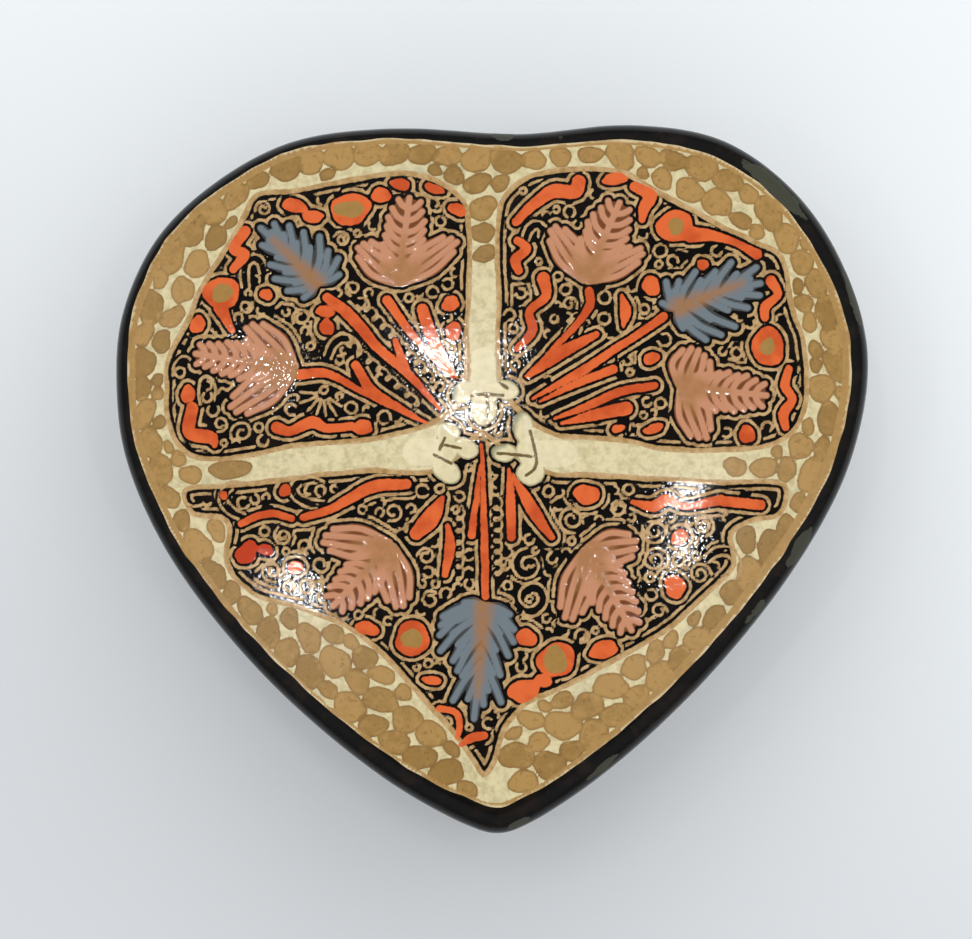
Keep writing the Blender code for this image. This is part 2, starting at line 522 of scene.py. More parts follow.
def oval(x, y, across, up, turn=0.0, ripple=0.07, count=26):
    """A closed, slightly irregular oval, with its half sizes and its turn in degrees."""
    angles = np.arange(count) * 2.0 * math.pi / count
    swell = 1.0 + ripple * (
        np.sin(2.0 * angles + hand.uniform(0.0, 6.3))
        + 0.7 * np.sin(3.0 * angles + hand.uniform(0.0, 6.3))
        + 0.4 * np.sin(5.0 * angles + hand.uniform(0.0, 6.3))
    )
    flat = np.column_stack((across * swell * np.cos(angles), up * swell * np.sin(angles)))
    turn = math.radians(turn)
    spin = rows(((math.cos(turn), math.sin(turn)), (-math.sin(turn), math.cos(turn))))
    return flat @ spin + (x, y)


def blob(chart, name, x, y, across, up, turn=0.0, ripple=0.07):
    """A dab of paint."""
    chart.fill(name, oval(x, y, across, up, turn, ripple), hand.uniform(-1.0, 1.0))


def flower(chart, x, y, across, up, heart, turn=0.0):
    """A round orange flower with a gold heart."""
    blob(chart, "orange", x, y, across, up, turn)
    blob(chart, "hearts", x + hand.uniform(-0.15, 0.15), y, *heart, turn, 0.09)


def leaf_half_width(share):
    """The half width of a leaf's lobe along its rib, as a share of its widest."""
    return math.sin(math.pi * (0.13 + 0.77 * share)) ** 0.6


def leaf_stroke(chart, name, knots, widths):
    """One stroke of a leaf. Its middle line is kept, so that the grooves between can be shaded."""
    line = smooth_line(knots, spacing=0.4)
    grow = np.linspace(0.0, 1.0, len(line))
    chart.stroke(name, line, np.interp(grow, (0.0, 0.6, 1.0), widths))
    chart.stroke("ribs", line, 0.02)
    return line


def feathered_lobe(chart, base, tip, half_width):
    """A lobe whose strokes leave its rib on both sides and bend towards its tip."""
    rib = tip - base
    length = np.linalg.norm(rib)
    across = rows((-rib[1], rib[0])) / length
    count = max(4, int(round(length / 1.02)))
    leaf_stroke(chart, "pink", (base, tip), (1.2, 1.0, 0.8))
    edges = []
    for side in (-1.0, 1.0):
        for index in range(count):
            share = (index + 0.7) / count
            spread = half_width * leaf_half_width(share) * hand.uniform(0.92, 1.06)
            end = base + rib * share + side * across * spread
            start = base + rib * max(0.0, share - 0.8 * spread / length)
            bend = start + side * across * spread * 0.62 + (share * rib + base - start) * 0.38
            leaf_stroke(chart, "pink", (start, bend, end), (0.8, 1.0, 0.75))
            edges.append(end)
    chart.fill("pink", rows([base, *edges[:count], tip, *edges[: count - 1 : -1]]))


def striped_lobe(chart, base, tip, half_width):
    """A lobe laid in long strokes side by side, from its foot to its rounded end."""
    rib = tip - base
    length = np.linalg.norm(rib)
    across = rows((-rib[1], rib[0])) / length
    count = max(4, int(round(2.0 * half_width / 1.08)))
    laid = []
    for index in range(count):
        share = 2.0 * (index + 0.5) / count - 1.0
        reach = (1.0 - 0.24 * share**2) * hand.uniform(0.95, 1.02)
        knots = (
            base + across * half_width * share * 0.3,
            base + rib * 0.45 + across * half_width * share * 0.98,
            base + rib * reach + across * half_width * share * 0.74,
        )
        laid.append(leaf_stroke(chart, "pink", knots, (0.7, 1.0, 0.8)))
    chart.fill("pink", np.vstack((laid[0], laid[-1][::-1])))


def pink_leaf(chart, base, lobes):
    """A pink leaf: its longest lobe is feathered, and the others are striped."""
    base = rows(base)
    longest = max(math.dist(base, tip) for tip, half_width in lobes)
    for tip, half_width in lobes:
        lay = feathered_lobe if math.dist(base, tip) == longest else striped_lobe
        lay(chart, base, rows(tip), half_width)
        chart.stroke("rib_core", (base, base + 0.55 * (rows(tip) - base)), (3.0, 0.3))


def blue_leaf(chart, base, end, tips):
    """A blue leaf: a tapering stroke to each finger of its edge, and a gold rib."""
    base, end, tips = rows(base), rows(end), rows(tips)
    rib = end - base
    share = np.clip((tips - base) @ rib / (rib @ rib) - 0.38, 0.0, 0.85)
    feet = base + share[:, None] * rib
    away = tips - feet
    away *= (1.0 - 0.3 / np.hypot(*away.T))[:, None]
    lean = 0.10 * rib / np.linalg.norm(rib) * np.hypot(*away.T)[:, None]
    for foot, reach, shift in zip(feet, away, lean):
        knots = (foot, foot + reach * 0.55 - shift, foot + reach)
        leaf_stroke(chart, "blue", knots, (0.9, 1.2, 0.85))
    for index in range(len(tips) - 1):
        foot = (feet[index] + feet[index + 1]) / 2.0
        reach = (away[index] + away[index + 1]) / 2.0 * hand.uniform(0.58, 0.74)
        leaf_stroke(chart, "blue", (foot, foot + reach), (0.8, 1.1, 0.7))
    chart.fill("blue", feet + away * 0.42)
    chart.stroke("rib_core", (base, base + 0.85 * rib), (2.0, 0.5))


# Gold scrolls


def gold(chart, knots, width=LINE_WIDTH, amount=WOBBLE):
    """A gold line through some knots."""
    line = wobbled(smooth_line(knots), amount)
    steady = width * (0.9 + 0.2 * rows([noise.noise(Vector((x, y, 2.0))) for x, y in line[:, :2]]))
    chart.stroke("gold", line[:, :2], steady)


def spiral(chart, x, y, radius, turns=1.4, start=0.0, side=1.0, inner=0.22):
    """A curl that winds in from its outer end."""
    share = np.linspace(0.0, 1.0, max(6, int(10 * turns)))
    angles = math.radians(start) + side * 2.0 * math.pi * turns * share
    reach = radius * (1.0 - (1.0 - inner) * share)
    gold(chart, np.column_stack((x + reach * np.cos(angles), y + reach * np.sin(angles))))


def arches(chart, x, y, heading, half_width, height, count, pitch=0.88):
    """Arches one inside another, open at the foot, with the heading towards their crown."""
    angle = math.radians(heading)
    up = rows((math.cos(angle), math.sin(angle)))
    side = rows((-up[1], up[0]))
    foot = rows((x, y))
    for index in range(count):
        half = half_width - pitch * index
        tall = height - pitch * index
        if half < 0.25:
            break
        knots = [
            foot + side * half * 0.95,
            foot + side * half + up * tall * 0.5,
            foot + side * half * 0.6 + up * tall * 0.9,
            foot + up * tall,
            foot - side * half * 0.6 + up * tall * 0.9,
            foot - side * half + up * tall * 0.5,
            foot - side * half * 0.8 + up * 0.1 * tall,
        ]
        gold(chart, knots[: hand.choice((5, 6, 7))])


def spring(chart, start, end, width, coils):
    """A line of small coils from one point to another."""
    start, end = rows(start), rows(end)
    length = np.linalg.norm(end - start)
    forward = (end - start) / length
    across = rows((-forward[1], forward[0]))
    knots = []
    for index in range(coils * 8 + 1):
        share = index / (coils * 8)
        phase = 2.0 * math.pi * index / 8
        reach = width / 2.0 * (1.0 - 0.3 * share)
        back = 0.36 * length / coils * math.cos(phase)
        knots.append(start + forward * (length * share - back) + across * reach * math.sin(phase))
    gold(chart, knots, LINE_WIDTH * 0.9, 0.05)


def fan(chart, x, y, heading, spread, reach, count):
    """Short strokes that fan out from one point."""
    for index in range(count):
        angle = math.radians(heading + spread * (index / (count - 1) - 0.5))
        side = rows((math.cos(angle), math.sin(angle)))
        start = rows((x, y)) + 0.7 * side
        gold(chart, (start, start + side * (reach - 0.7) * hand.uniform(0.8, 1.1)))


# The design


PANEL_LEFT = (
    (-25.5, 30.6), (-20.7, 31.2), (-15.3, 32.3), (-9.4, 33.0), (-5.5, 32.0), (-3.0, 30.0),
    (-2.3, 27.0), (-2.5, 16.6), (-3.0, 8.6), (-5.4, 6.2), (-12.9, 4.0), (-20.7, 3.4), (-29.6, 1.9),
    (-32.9, 2.6), (-34.6, 4.9), (-35.2, 9.0), (-34.9, 13.2), (-33.0, 16.7), (-31.5, 20.4),
    (-29.4, 23.9), (-26.9, 28.0),
)
PANEL_RIGHT = (
    (0.9, 28.3), (1.7, 30.6), (4.2, 32.6), (7.7, 33.3), (11.8, 33.4), (14.4, 33.0), (17.5, 31.2),
    (20.4, 29.6), (24.8, 27.2), (28.6, 25.4), (31.1, 24.2), (31.9, 22.6), (32.6, 18.3),
    (33.7, 15.0), (34.2, 11.2), (33.9, 7.2), (32.6, 4.8), (29.9, 3.3), (25.8, 2.8), (19.3, 2.9),
    (13.9, 3.9), (7.0, 4.5), (4.0, 6.2), (1.6, 9.0), (0.9, 11.7), (0.9, 19.3),
)
PANEL_LOWER = (
    (-33.1, -1.5), (-32.3, -3.9), (-29.1, -4.4), (-28.2, -5.4), (-28.6, -8.6), (-27.8, -10.7),
    (-25.3, -12.8), (-20.3, -14.2), (-15.9, -16.0), (-12.8, -18.0), (-9.7, -21.2), (-7.5, -23.6),
    (-4.5, -26.9), (-1.6, -30.9), (-0.7, -32.2), (0.4, -30.6), (1.4, -27.4), (3.4, -24.8),
    (8.4, -22.4), (14.6, -19.1), (19.7, -16.0), (23.0, -12.9), (26.2, -9.5), (25.9, -6.2),
    (28.7, -4.6), (31.2, -4.0), (31.8, -1.1), (25.0, -0.7), (12.4, 0.0), (6.1, 0.4), (2.0, 2.6),
    (-1.0, 4.6), (-3.4, 2.2), (-6.5, 0.5), (-13.0, 0.6), (-20.7, -0.1), (-27.3, -0.9),
)

# Each pink leaf: where its ribs meet, then the tip and half width of each lobe
PINK_LEAVES = (
    ((-9.9, 21.2), (((-14.2, 25.2), 2.0), ((-8.8, 30.3), 2.2), ((-3.7, 25.8), 1.8))),
    ((-21.4, 11.6), (((-32.0, 13.4), 1.9), ((-26.2, 16.4), 2.2), ((-28.0, 7.2), 2.2))),
    ((10.4, 21.4), (((6.7, 27.0), 1.9), ((14.0, 29.7), 2.3), ((16.6, 24.5), 1.7))),
    ((20.9, 9.6), (((22.5, 13.6), 2.7), ((29.8, 8.7), 2.1), ((23.0, 3.9), 2.1))),
    ((-10.9, -7.6), (((-18.2, -6.7), 2.1), ((-17.0, -14.0), 2.2), ((-9.7, -14.4), 2.2))),
    ((10.6, -8.1), (((15.8, -7.4), 2.2), ((8.4, -15.5), 2.2), ((15.2, -16.6), 2.2))),
)

# Each blue leaf: the foot and end of its rib, then the fingers of its edge in order
BLUE_LEAVES = (
    (
        (-18.9, 21.1), (-24.4, 26.6),
        (
            (-20.4, 19.2), (-22.3, 20.1), (-23.7, 21.5), (-24.2, 23.1), (-25.1, 25.3),
            (-25.2, 27.3), (-23.6, 27.8), (-21.9, 27.6), (-20.3, 26.9), (-18.5, 26.4),
            (-17.5, 24.8), (-16.3, 23.9), (-16.1, 22.0),
        ),
    ),
    (
        (20.3, 18.2), (28.4, 21.4),
        (
            (18.3, 18.8), (18.9, 21.3), (20.4, 21.4), (22.3, 22.4), (24.5, 22.4), (26.2, 23.4),
            (29.0, 22.8), (29.5, 20.9), (29.4, 19.5), (28.1, 18.1), (26.7, 16.0), (25.2, 15.1),
            (23.5, 14.5), (20.9, 15.7),
        ),
    ),
    (
        (-0.7, -14.0), (-1.5, -25.4),
        (
            (2.4, -15.0), (2.8, -16.7), (2.7, -18.1), (2.1, -19.6), (1.2, -21.7), (1.3, -24.6),
            (-0.7, -24.9), (-1.8, -26.4), (-4.2, -24.4), (-3.7, -21.2), (-4.2, -20.1),
            (-5.6, -19.0), (-5.7, -17.3), (-5.6, -16.2), (-5.4, -15.2), (-3.1, -13.6),
        ),
    ),
)

# Each flower: its middle, half sizes, and the half sizes of its gold heart
FLOWERS = (
    (-15.2, 29.1, 2.25, 1.7, (1.55, 1.0)), (-29.2, 20.0, 1.9, 1.85, (1.1, 1.1)),
    (20.0, 27.1, 1.9, 1.85, (0.9, 0.9)), (30.0, 14.0, 1.85, 2.0, (0.8, 0.95)),
    (-8.4, -17.5, 1.95, 1.8, (1.1, 1.1)), (7.1, -19.8, 2.0, 1.9, (1.35, 1.45)),
)

# Each dab: its middle, half sizes and turn
DABS = (
    (-21.3, 29.5, 1.35, 0.8, -10.0), (-19.3, 28.3, 1.25, 0.65, -8.0),
    (-11.9, 30.6, 1.05, 0.85, 20.0), (-9.8, 31.8, 1.1, 0.65, -5.0), (-6.1, 31.3, 1.1, 0.55, -22.0),
    (-3.6, 29.0, 1.0, 0.7, -18.0), (-4.3, 18.7, 1.0, 0.8, 10.0), (-4.0, 15.7, 0.95, 0.95, 0.0),
    (-24.3, 19.8, 0.7, 0.65, 0.0), (-31.8, 16.6, 0.85, 0.95, 0.0), (-17.9, 17.9, 1.0, 0.65, 0.0),
    (-17.7, 16.2, 0.75, 0.95, 0.0), (-32.8, 9.0, 0.8, 0.95, 20.0), (-13.8, 5.3, 1.2, 0.75, 5.0),
    (13.5, 32.3, 1.35, 0.7, 0.0), (17.4, 20.6, 1.0, 1.05, 0.0), (23.0, 22.9, 0.7, 0.55, 0.0),
    (17.4, 12.7, 0.85, 0.7, 25.0), (27.7, 4.5, 0.95, 0.9, 0.0), (17.6, 5.1, 1.15, 0.5, 15.0),
    (13.8, 5.1, 0.8, 0.4, 10.0), (-28.9, -2.0, 0.45, 0.45, 0.0), (-22.2, -1.5, 0.65, 0.7, 0.0),
    (-21.1, -9.8, 0.95, 0.65, 5.0), (-13.3, -16.4, 1.25, 0.8, -15.0),
    (-6.3, -22.0, 1.0, 0.5, -10.0), (10.4, -2.0, 1.45, 1.05, 8.0), (20.4, -6.6, 0.95, 0.85, 0.0),
    (19.9, -11.9, 1.2, 1.2, 0.0), (3.9, -17.4, 1.1, 0.95, 0.0), (12.2, -18.7, 1.7, 0.9, 12.0),
    (3.6, -23.1, 1.7, 1.25, 25.0), (5.7, -22.0, 0.9, 0.8, 0.0),
)
RED_DABS = (
    (-26.4, -8.2, 1.5, 0.95, 35.0),
    (-24.4, -7.9, 1.0, 0.6, -30.0),
)

# Rays and ribbons: x, y and width at each knot
RAY_WEIGHT = 1.04
RAYS = (
    ((-17.7, 19.4, 1.0), (-15.4, 17.6, 1.2), (-11.9, 13.7, 1.0), (-9.0, 11.2, 0.9), (-5.4, 7.3, 0.4)),
    ((-11.2, 19.1, 1.0), (-8.1, 14.9, 0.75), (-4.9, 11.4, 0.4), (-3.9, 10.4, 0.15)),
    ((-7.3, 18.0, 1.2), (-6.1, 14.6, 1.25), (-4.6, 12.0, 0.75), (-3.6, 10.6, 0.25)),
    ((-10.3, 14.7, 0.55), (-9.6, 13.0, 0.8), (-8.8, 11.3, 0.5)),
    ((-14.6, 12.1, 0.9), (-12.6, 9.1, 1.05), (-9.6, 7.2, 0.8), (-6.9, 5.8, 0.3)),
    ((-20.6, 11.0, 1.1), (-17.9, 11.2, 0.9), (-14.1, 9.3, 0.6), (-10.9, 7.4, 0.25)),
    ((10.7, 20.0, 0.9), (10.8, 18.7, 0.9), (9.6, 16.7, 0.75), (6.9, 13.8, 0.55), (3.9, 10.8, 0.25)),
    ((11.5, 15.3, 0.7), (7.7, 13.3, 1.25), (4.1, 10.7, 0.35)),
    ((18.7, 17.2, 0.9), (15.5, 15.0, 0.8), (12.3, 12.9, 0.85), (9.6, 11.2, 0.9), (4.6, 8.3, 0.3)),
    ((13.3, 11.5, 0.9), (9.6, 10.1, 0.8), (5.4, 8.0, 0.25)),
    ((17.7, 9.8, 0.8), (13.9, 9.0, 0.9), (10.1, 7.4, 0.75), (7.0, 6.2, 0.3)),
    ((14.7, 7.3, 1.4), (11.0, 6.5, 1.1), (7.7, 5.7, 0.3)),
    ((-0.9, 3.4, 0.35), (-0.7, -2.8, 0.6), (-0.6, -8.0, 0.8), (-0.5, -13.0, 0.75)),
    ((-1.1, 1.2, 0.25), (-1.5, -2.4, 0.55), (-2.0, -6.4, 0.8)),
    ((2.0, 0.8, 0.3), (2.2, -2.6, 0.95), (2.3, -6.6, 0.9)),
    ((2.4, 0.2, 0.3), (4.3, -3.3, 1.3), (6.6, -6.6, 0.7)),
)
RIBBONS = (
    ((-29.3, 18.4, 1.6), (-28.6, 17.0, 1.0), (-28.0, 15.9, 0.7)),
    ((-32.3, 7.5, 1.3), (-32.6, 4.9, 1.4), (-30.2, 4.2, 1.3), (-29.9, 3.4, 0.6)),
    ((-26.7, 26.8, 1.2), (-27.9, 24.8, 1.1), (-26.7, 24.3, 1.2), (-27.9, 22.6, 0.9)),
    ((-23.1, 5.3, 1.3), (-21.8, 4.9, 1.0), (-19.1, 5.9, 1.3), (-17.9, 5.2, 1.0), (-15.0, 5.4, 0.9)),
    ((9.6, 32.0, 1.5), (9.3, 31.0, 1.5), (6.9, 31.0, 1.5), (5.0, 29.8, 1.2), (2.8, 27.6, 0.9)),
    ((15.6, 31.5, 1.1), (17.3, 30.4, 1.4), (16.6, 29.1, 1.2), (16.4, 27.8, 0.7)),
    ((21.7, 26.2, 1.8), (24.4, 26.0, 1.1), (26.9, 25.1, 0.8), (28.8, 24.1, 1.2)),
    ((3.0, 25.5, 0.9), (3.9, 24.7, 1.0), (2.7, 23.4, 1.1), (3.1, 22.3, 0.9)),
    ((5.8, 21.4, 1.4), (6.1, 19.6, 1.0), (4.2, 17.7, 0.9), (4.6, 15.9, 1.0), (2.9, 13.8, 0.7)),
    ((14.2, 19.6, 0.4), (14.6, 17.8, 1.2), (14.3, 16.1, 0.3)),
    ((30.4, 21.1, 1.2), (31.1, 19.7, 0.9), (29.7, 18.3, 1.0), (29.7, 17.2, 0.9)),
    ((32.2, 11.6, 0.8), (31.8, 9.7, 1.0), (32.6, 8.3, 0.9), (31.6, 6.7, 1.1), (31.9, 5.3, 0.8)),
    ((-9.0, -0.8, 1.1), (-12.5, -1.1, 1.3), (-15.2, -2.4, 1.1), (-17.2, -3.5, 0.9), (-20.2, -4.4, 0.8)),
    ((-27.0, -5.1, 0.7), (-25.3, -4.3, 0.8), (-23.4, -4.0, 0.8), (-21.5, -4.5, 0.7)),
    ((-5.1, -2.4, 0.5), (-6.4, -4.5, 1.9), (-8.0, -6.2, 1.4)),
    ((-4.6, -5.3, 0.5), (-4.3, -7.6, 1.15), (-4.9, -10.6, 0.7)),
    ((-5.5, -25.0, 0.7), (-3.7, -25.5, 0.7), (-3.3, -27.0, 0.7), (-3.6, -28.2, 0.5)),
    ((-3.2, -28.9, 0.6), (-2.0, -28.2, 1.0), (-0.7, -27.9, 0.9)),
    ((15.3, -2.8, 0.5), (17.6, -3.3, 1.2), (19.1, -2.5, 1.2), (20.7, -3.2, 0.8), (24.9, -2.6, 1.1)),
    ((25.0, -2.7, 1.1), (29.1, -3.1, 1.1)),
)

# The knobs where the three cream bands meet: the end of a band, then dabs of cream with their half
# sizes and turn, then the small strokes on them
KNOBS = (
    (
        ((-0.7, 12.5), (-0.6, 9.0)),
        (
            (-2.8, 9.1, 1.45, 1.15, 35.0), (1.7, 9.3, 1.4, 1.15, -20.0),
            (-0.7, 7.2, 1.4, 1.9, 0.0), (-0.6, 9.0, 1.7, 1.5, 0.0),
        ),
        (
            ((-2.0, 8.7), (-0.6, 8.9), (1.4, 8.7)), ((-0.3, 8.6), (-0.2, 6.4)),
            ((1.0, 10.1), (1.9, 9.4)),
        ),
    ),
    (
        ((-8.0, 2.6), (-5.0, 2.7)),
        (
            (-4.6, 4.7, 1.35, 1.25, 0.0), (-2.6, 3.0, 1.4, 1.15, -25.0),
            (-4.7, 0.5, 1.75, 1.15, -28.0), (-4.9, 2.8, 1.5, 1.7, 0.0),
        ),
        (
            ((-5.5, 2.8), (-4.9, 4.1)), ((-4.9, 3.3), (-3.2, 2.95)), ((-6.1, 2.3), (-4.2, 1.35)),
        ),
    ),
    (
        ((8.0, 2.4), (4.6, 2.4)),
        (
            (3.6, 5.2, 1.2, 1.75, 10.0), (1.5, 2.5, 1.35, 1.05, 0.0), (4.4, 0.4, 1.6, 1.45, 0.0),
            (4.2, 2.6, 1.4, 1.8, 0.0),
        ),
        (((4.3, 4.9), (4.8, 3.0), (4.9, 1.0), (3.9, 0.0)), ((0.9, 2.45), (4.4, 2.1))),
    ),
)
BAND_WIDTH = 2.9
KNOB_LIGHT = (0.42, -0.38)
HUB = (-0.5, 3.8, 4.9, 5.4)

# Rows of dots along the border: how deep inside it, their spacing and their size
DOT_ROWS = ((1.6, 3.05, 1.65), (4.35, 3.3, 1.85))
SMALLEST_DOT = 0.66
MOST_DOTS = 220

# Gold-brown ends of the side bands: their middle, half sizes and turn
BAND_ENDS = (
    (-28.2, 0.8, 2.3, 1.15, 3.0), (-32.5, 0.25, 1.25, 1.1, 0.0), (26.4, 1.0, 1.3, 1.1, 0.0),
    (29.5, 0.9, 1.5, 1.2, 0.0),
)


# The larger scrolls. Springs: start, end, width and coils
SPRINGS = (
    ((-13.9, 19.0), (-5.9, 10.2), 1.0, 9), ((-15.9, 15.2), (-7.6, 7.7), 0.95, 8),
    ((-3.2, -3.6), (-3.3, -11.4), 0.95, 6), ((0.85, -2.6), (0.9, -10.8), 0.95, 7),
)

# Arches: the middle of the foot, heading, half width, height and count
ARCHES = (
    (-25.6, 20.6, 92.0, 1.5, 3.6, 3), (-16.6, 12.4, 62.0, 1.7, 3.2, 2),
    (-33.6, 10.8, 78.0, 1.0, 2.4, 2), (-30.6, 8.0, 96.0, 0.9, 3.0, 2),
    (-26.0, -3.2, 150.0, 1.9, 3.6, 3), (-17.8, -2.0, 168.0, 1.6, 4.0, 4),
    (-31.4, -2.0, 186.0, 1.1, 1.8, 2), (4.6, 25.4, 70.0, 1.3, 2.4, 2),
    (9.0, 14.8, 60.0, 1.2, 2.6, 2), (24.2, -10.2, 35.0, 2.0, 3.0, 3),
    (15.2, -13.4, -50.0, 1.0, 2.0, 1),
)

# Spirals: the middle, radius, turns, the heading of the outer end, and the side they wind to
SPIRALS = (
    (-24.7, 29.2, 1.3, 1.5, 200.0, -1.0), (-16.1, 25.8, 1.35, 1.5, 160.0, -1.0),
    (-4.6, 20.9, 1.2, 1.6, 20.0, 1.0), (-26.9, 4.8, 1.3, 1.4, 210.0, -1.0),
    (-24.6, 3.9, 1.2, 1.2, 180.0, -1.0), (8.6, 18.6, 1.35, 1.3, 330.0, 1.0),
    (18.4, 24.4, 1.2, 1.4, 120.0, 1.0), (32.0, 17.6, 1.2, 1.2, 80.0, -1.0),
    (28.2, 11.9, 0.9, 1.2, 200.0, 1.0), (16.9, 8.0, 1.3, 1.3, 30.0, 1.0),
    (4.0, -9.6, 1.9, 1.5, 90.0, 1.0), (1.4, -9.4, 0.9, 1.3, 250.0, 1.0),
    (6.9, -13.6, 1.2, 1.2, 60.0, -1.0), (14.9, -1.4, 0.9, 1.2, 200.0, 1.0),
    (6.3, -1.6, 1.0, 1.3, 60.0, 1.0), (-22.4, -6.4, 1.7, 1.6, 120.0, 1.0),
    (-5.9, -11.6, 1.2, 1.3, 20.0, -1.0), (22.6, -10.6, 1.3, 1.6, 0.0, 1.0),
)
FAN = (-18.0, 8.9, -110.0, 150.0, 2.6, 7)


def paint_ground(chart):
    """The cream border and bands, and the three black fields with their gold edges."""
    for panel in (PANEL_LEFT, PANEL_RIGHT, PANEL_LOWER):
        outline = wobbled(smooth_line(panel, closed=True, spacing=0.6), 0.12)
        chart.fill("ground", outline)
        around = np.vstack((outline, outline[:1]))
        swell = 1.0 + 0.25 * rows([noise.noise(Vector((x, y, 5.0)) / 3.0) for x, y in around])
        chart.stroke("border_line", around, FIELD_LINE_WIDTH * swell)
    chart.fill("ground", oval(*HUB))


def paint_border(chart):
    """The gold band round the whole painting."""
    around = border_line(0.0) * (1.0 - 0.42 * BAND_WIDTHS / REACHES)[:, None]
    widths = np.append(BAND_WIDTHS, BAND_WIDTHS[0])
    around = np.vstack((around, around[:1]))
    swell = 1.0 + 0.3 * rows([noise.noise(Vector((x, y, 9.0)) / 5.0) for x, y in around])
    chart.stroke("border_band", around, widths * swell)


def paint_dots(chart, margin_depth):
    """Gold-brown dots: rows along the border, then more of them wherever there is room."""
    for dab in BAND_ENDS:
        blob(chart, "dots", *dab)
    for row_depth, pitch, radius in DOT_ROWS:
        line = border_line(row_depth)
        steps = np.hypot(*(np.roll(line, -1, axis=0) - line).T)
        travelled = np.concatenate(((0.0,), np.cumsum(steps)))
        closed = np.vstack((line, line[:1]))
        count = int(travelled[-1] / pitch)
        for index in range(count):
            place = (index + hand.uniform(-0.10, 0.10) + 0.5) * travelled[-1] / count
            x = np.interp(place, travelled, closed[:, 0])
            y = np.interp(place, travelled, closed[:, 1])
            width = row_depth + chart.near("ground", x, y)
            reach = math.hypot(x, y)
            if row_depth < 2.0 and width < 3.9:
                inward = (width / 2.0 - row_depth) / reach
                x, y = x * (1.0 - inward), y * (1.0 - inward)
                largest = width / 2.0 - 0.25
            else:
                largest = radius * hand.uniform(0.9, 1.08)
            room = min(chart.near("ground", x, y) - 0.30, chart.near("dots", x, y) + 0.22)
            across = min(largest, room)
            if across >= 0.95 and not is_on_band(x, y):
                dot(chart, x, y, across)
    free = np.minimum(chart.paint["ground"] - 0.25, chart.paint["dots"])
    free = np.minimum(free, margin_depth + 0.2)
    for _ in range(MOST_DOTS):
        row, column = np.unravel_index(np.argmax(free), free.shape)
        room = free[row, column]
        if room < SMALLEST_DOT:
            break
        x, y = chart.x[column], chart.y[row]
        radius = min(1.65, room + 0.06) * hand.uniform(0.96, 1.0)
        if not is_on_band(x, y):
            dot(chart, x, y, radius)
        near = np.hypot(chart.x[None, :] - x, chart.y[:, None] - y) - radius
        free = np.minimum(free, np.round(near, DIGITS))


def dot(chart, x, y, radius):
    """One gold-brown dot, a little longer round the border than it is wide."""
    turn = math.degrees(math.atan2(y, x)) + 90.0 + hand.uniform(-25.0, 25.0)
    blob(chart, "dots", x, y, radius * 1.14, radius * hand.uniform(0.80, 0.96), turn, 0.08)


def is_on_band(x, y):
    """Whether a place is on one of the three plain cream bands."""
    is_upright = abs(x + 0.7) < 1.6 and y < 24.0
    return is_upright or (abs(x) < 25.5 and -1.2 < y < 4.2)


def border_line(depth):
    """A line round the lid at a depth inside the black margin."""
    mean = float(np.mean(MARGIN_WIDTHS))
    line = drawn_in(depth + mean)
    return line + OUTLINE * ((mean - MARGIN_WIDTHS) / REACHES)[:, None]


def paint_motifs(chart):
    """Leaves, flowers, dabs, rays and ribbons."""
    for line in RIBBONS:
        brush(chart, "orange", line)
    for line in RAYS:
        brush(chart, "orange", rows(line) * (1.0, 1.0, RAY_WEIGHT))
    for dab in DABS:
        blob(chart, "orange", *dab, 0.09)
    for dab in RED_DABS:
        blob(chart, "red", *dab, 0.14)
    for flower_row in FLOWERS:
        flower(chart, *flower_row)
    for base, lobes in PINK_LEAVES:
        pink_leaf(chart, base, lobes)
    for base, end, tips in BLUE_LEAVES:
        blue_leaf(chart, base, end, tips)


def paint_knobs(chart):
    """The three knobs at the hub: dabs of cream in light and shade, with a few darker strokes."""
    for band, dabs, strokes in KNOBS:
        chart.stroke("knobs", band, BAND_WIDTH)
        chart.stroke("knob_light", band, BAND_WIDTH + 3.0)
        for x, y, *shape in dabs:
            outline = oval(x, y, *shape, 0.04)
            chart.fill("knobs", outline)
            chart.fill("knob_light", outline + KNOB_LIGHT)
        for line in strokes:
            brush(chart, "knob_lines", line, 0.34)


def paint_outlines(chart):
    """Gold lines that follow the edges of the motifs and fields at a small distance."""
    field = -chart.paint["ground"]
    broken = broken_lines(chart, 1.0)
    motifs = motif_distance(chart)
    drawn = chart.paint["gold"].copy()
    kept = np.minimum(field - LINE_CLEARANCE, BREAK_SLOPE * (broken + MOTIF_LINE_SHARE))
    contour(chart, motifs, MOTIF_LINE_OFFSET, np.minimum(kept, drawn - LINE_CLEARANCE))
    drawn = chart.paint["gold"].copy()
    kept = np.minimum(motifs - LINE_CLEARANCE, BREAK_SLOPE * (FIELD_LINE_SHARE - broken))
    contour(chart, field, FIELD_LINE_OFFSET, np.minimum(kept, drawn - FIELD_LINE_CLEARANCE))
    measure_gold_again(chart)


def paint_echoes(chart):
    """Gold lines that follow what is painted already, one step farther out, where there is room."""
    step = LINE_GAP + LINE_WIDTH / 2.0
    room = free_room(chart)
    is_wide = widest_near(room, ECHO_CELLS) - ECHO_ROOM
    kept = np.minimum(is_wide, BREAK_SLOPE * (broken_lines(chart, 3.0) + ECHO_SHARE))
    contour(chart, room, step, kept)
    measure_gold_again(chart)


def widest_near(room, cells):
    """The largest value of a field within some cells of each point."""
    for axis in (0, 1):
        wide = room.copy()
        for step in range(-cells, cells + 1):
            wide = np.maximum(wide, np.roll(room, step, axis=axis))
        room = wide
    return room


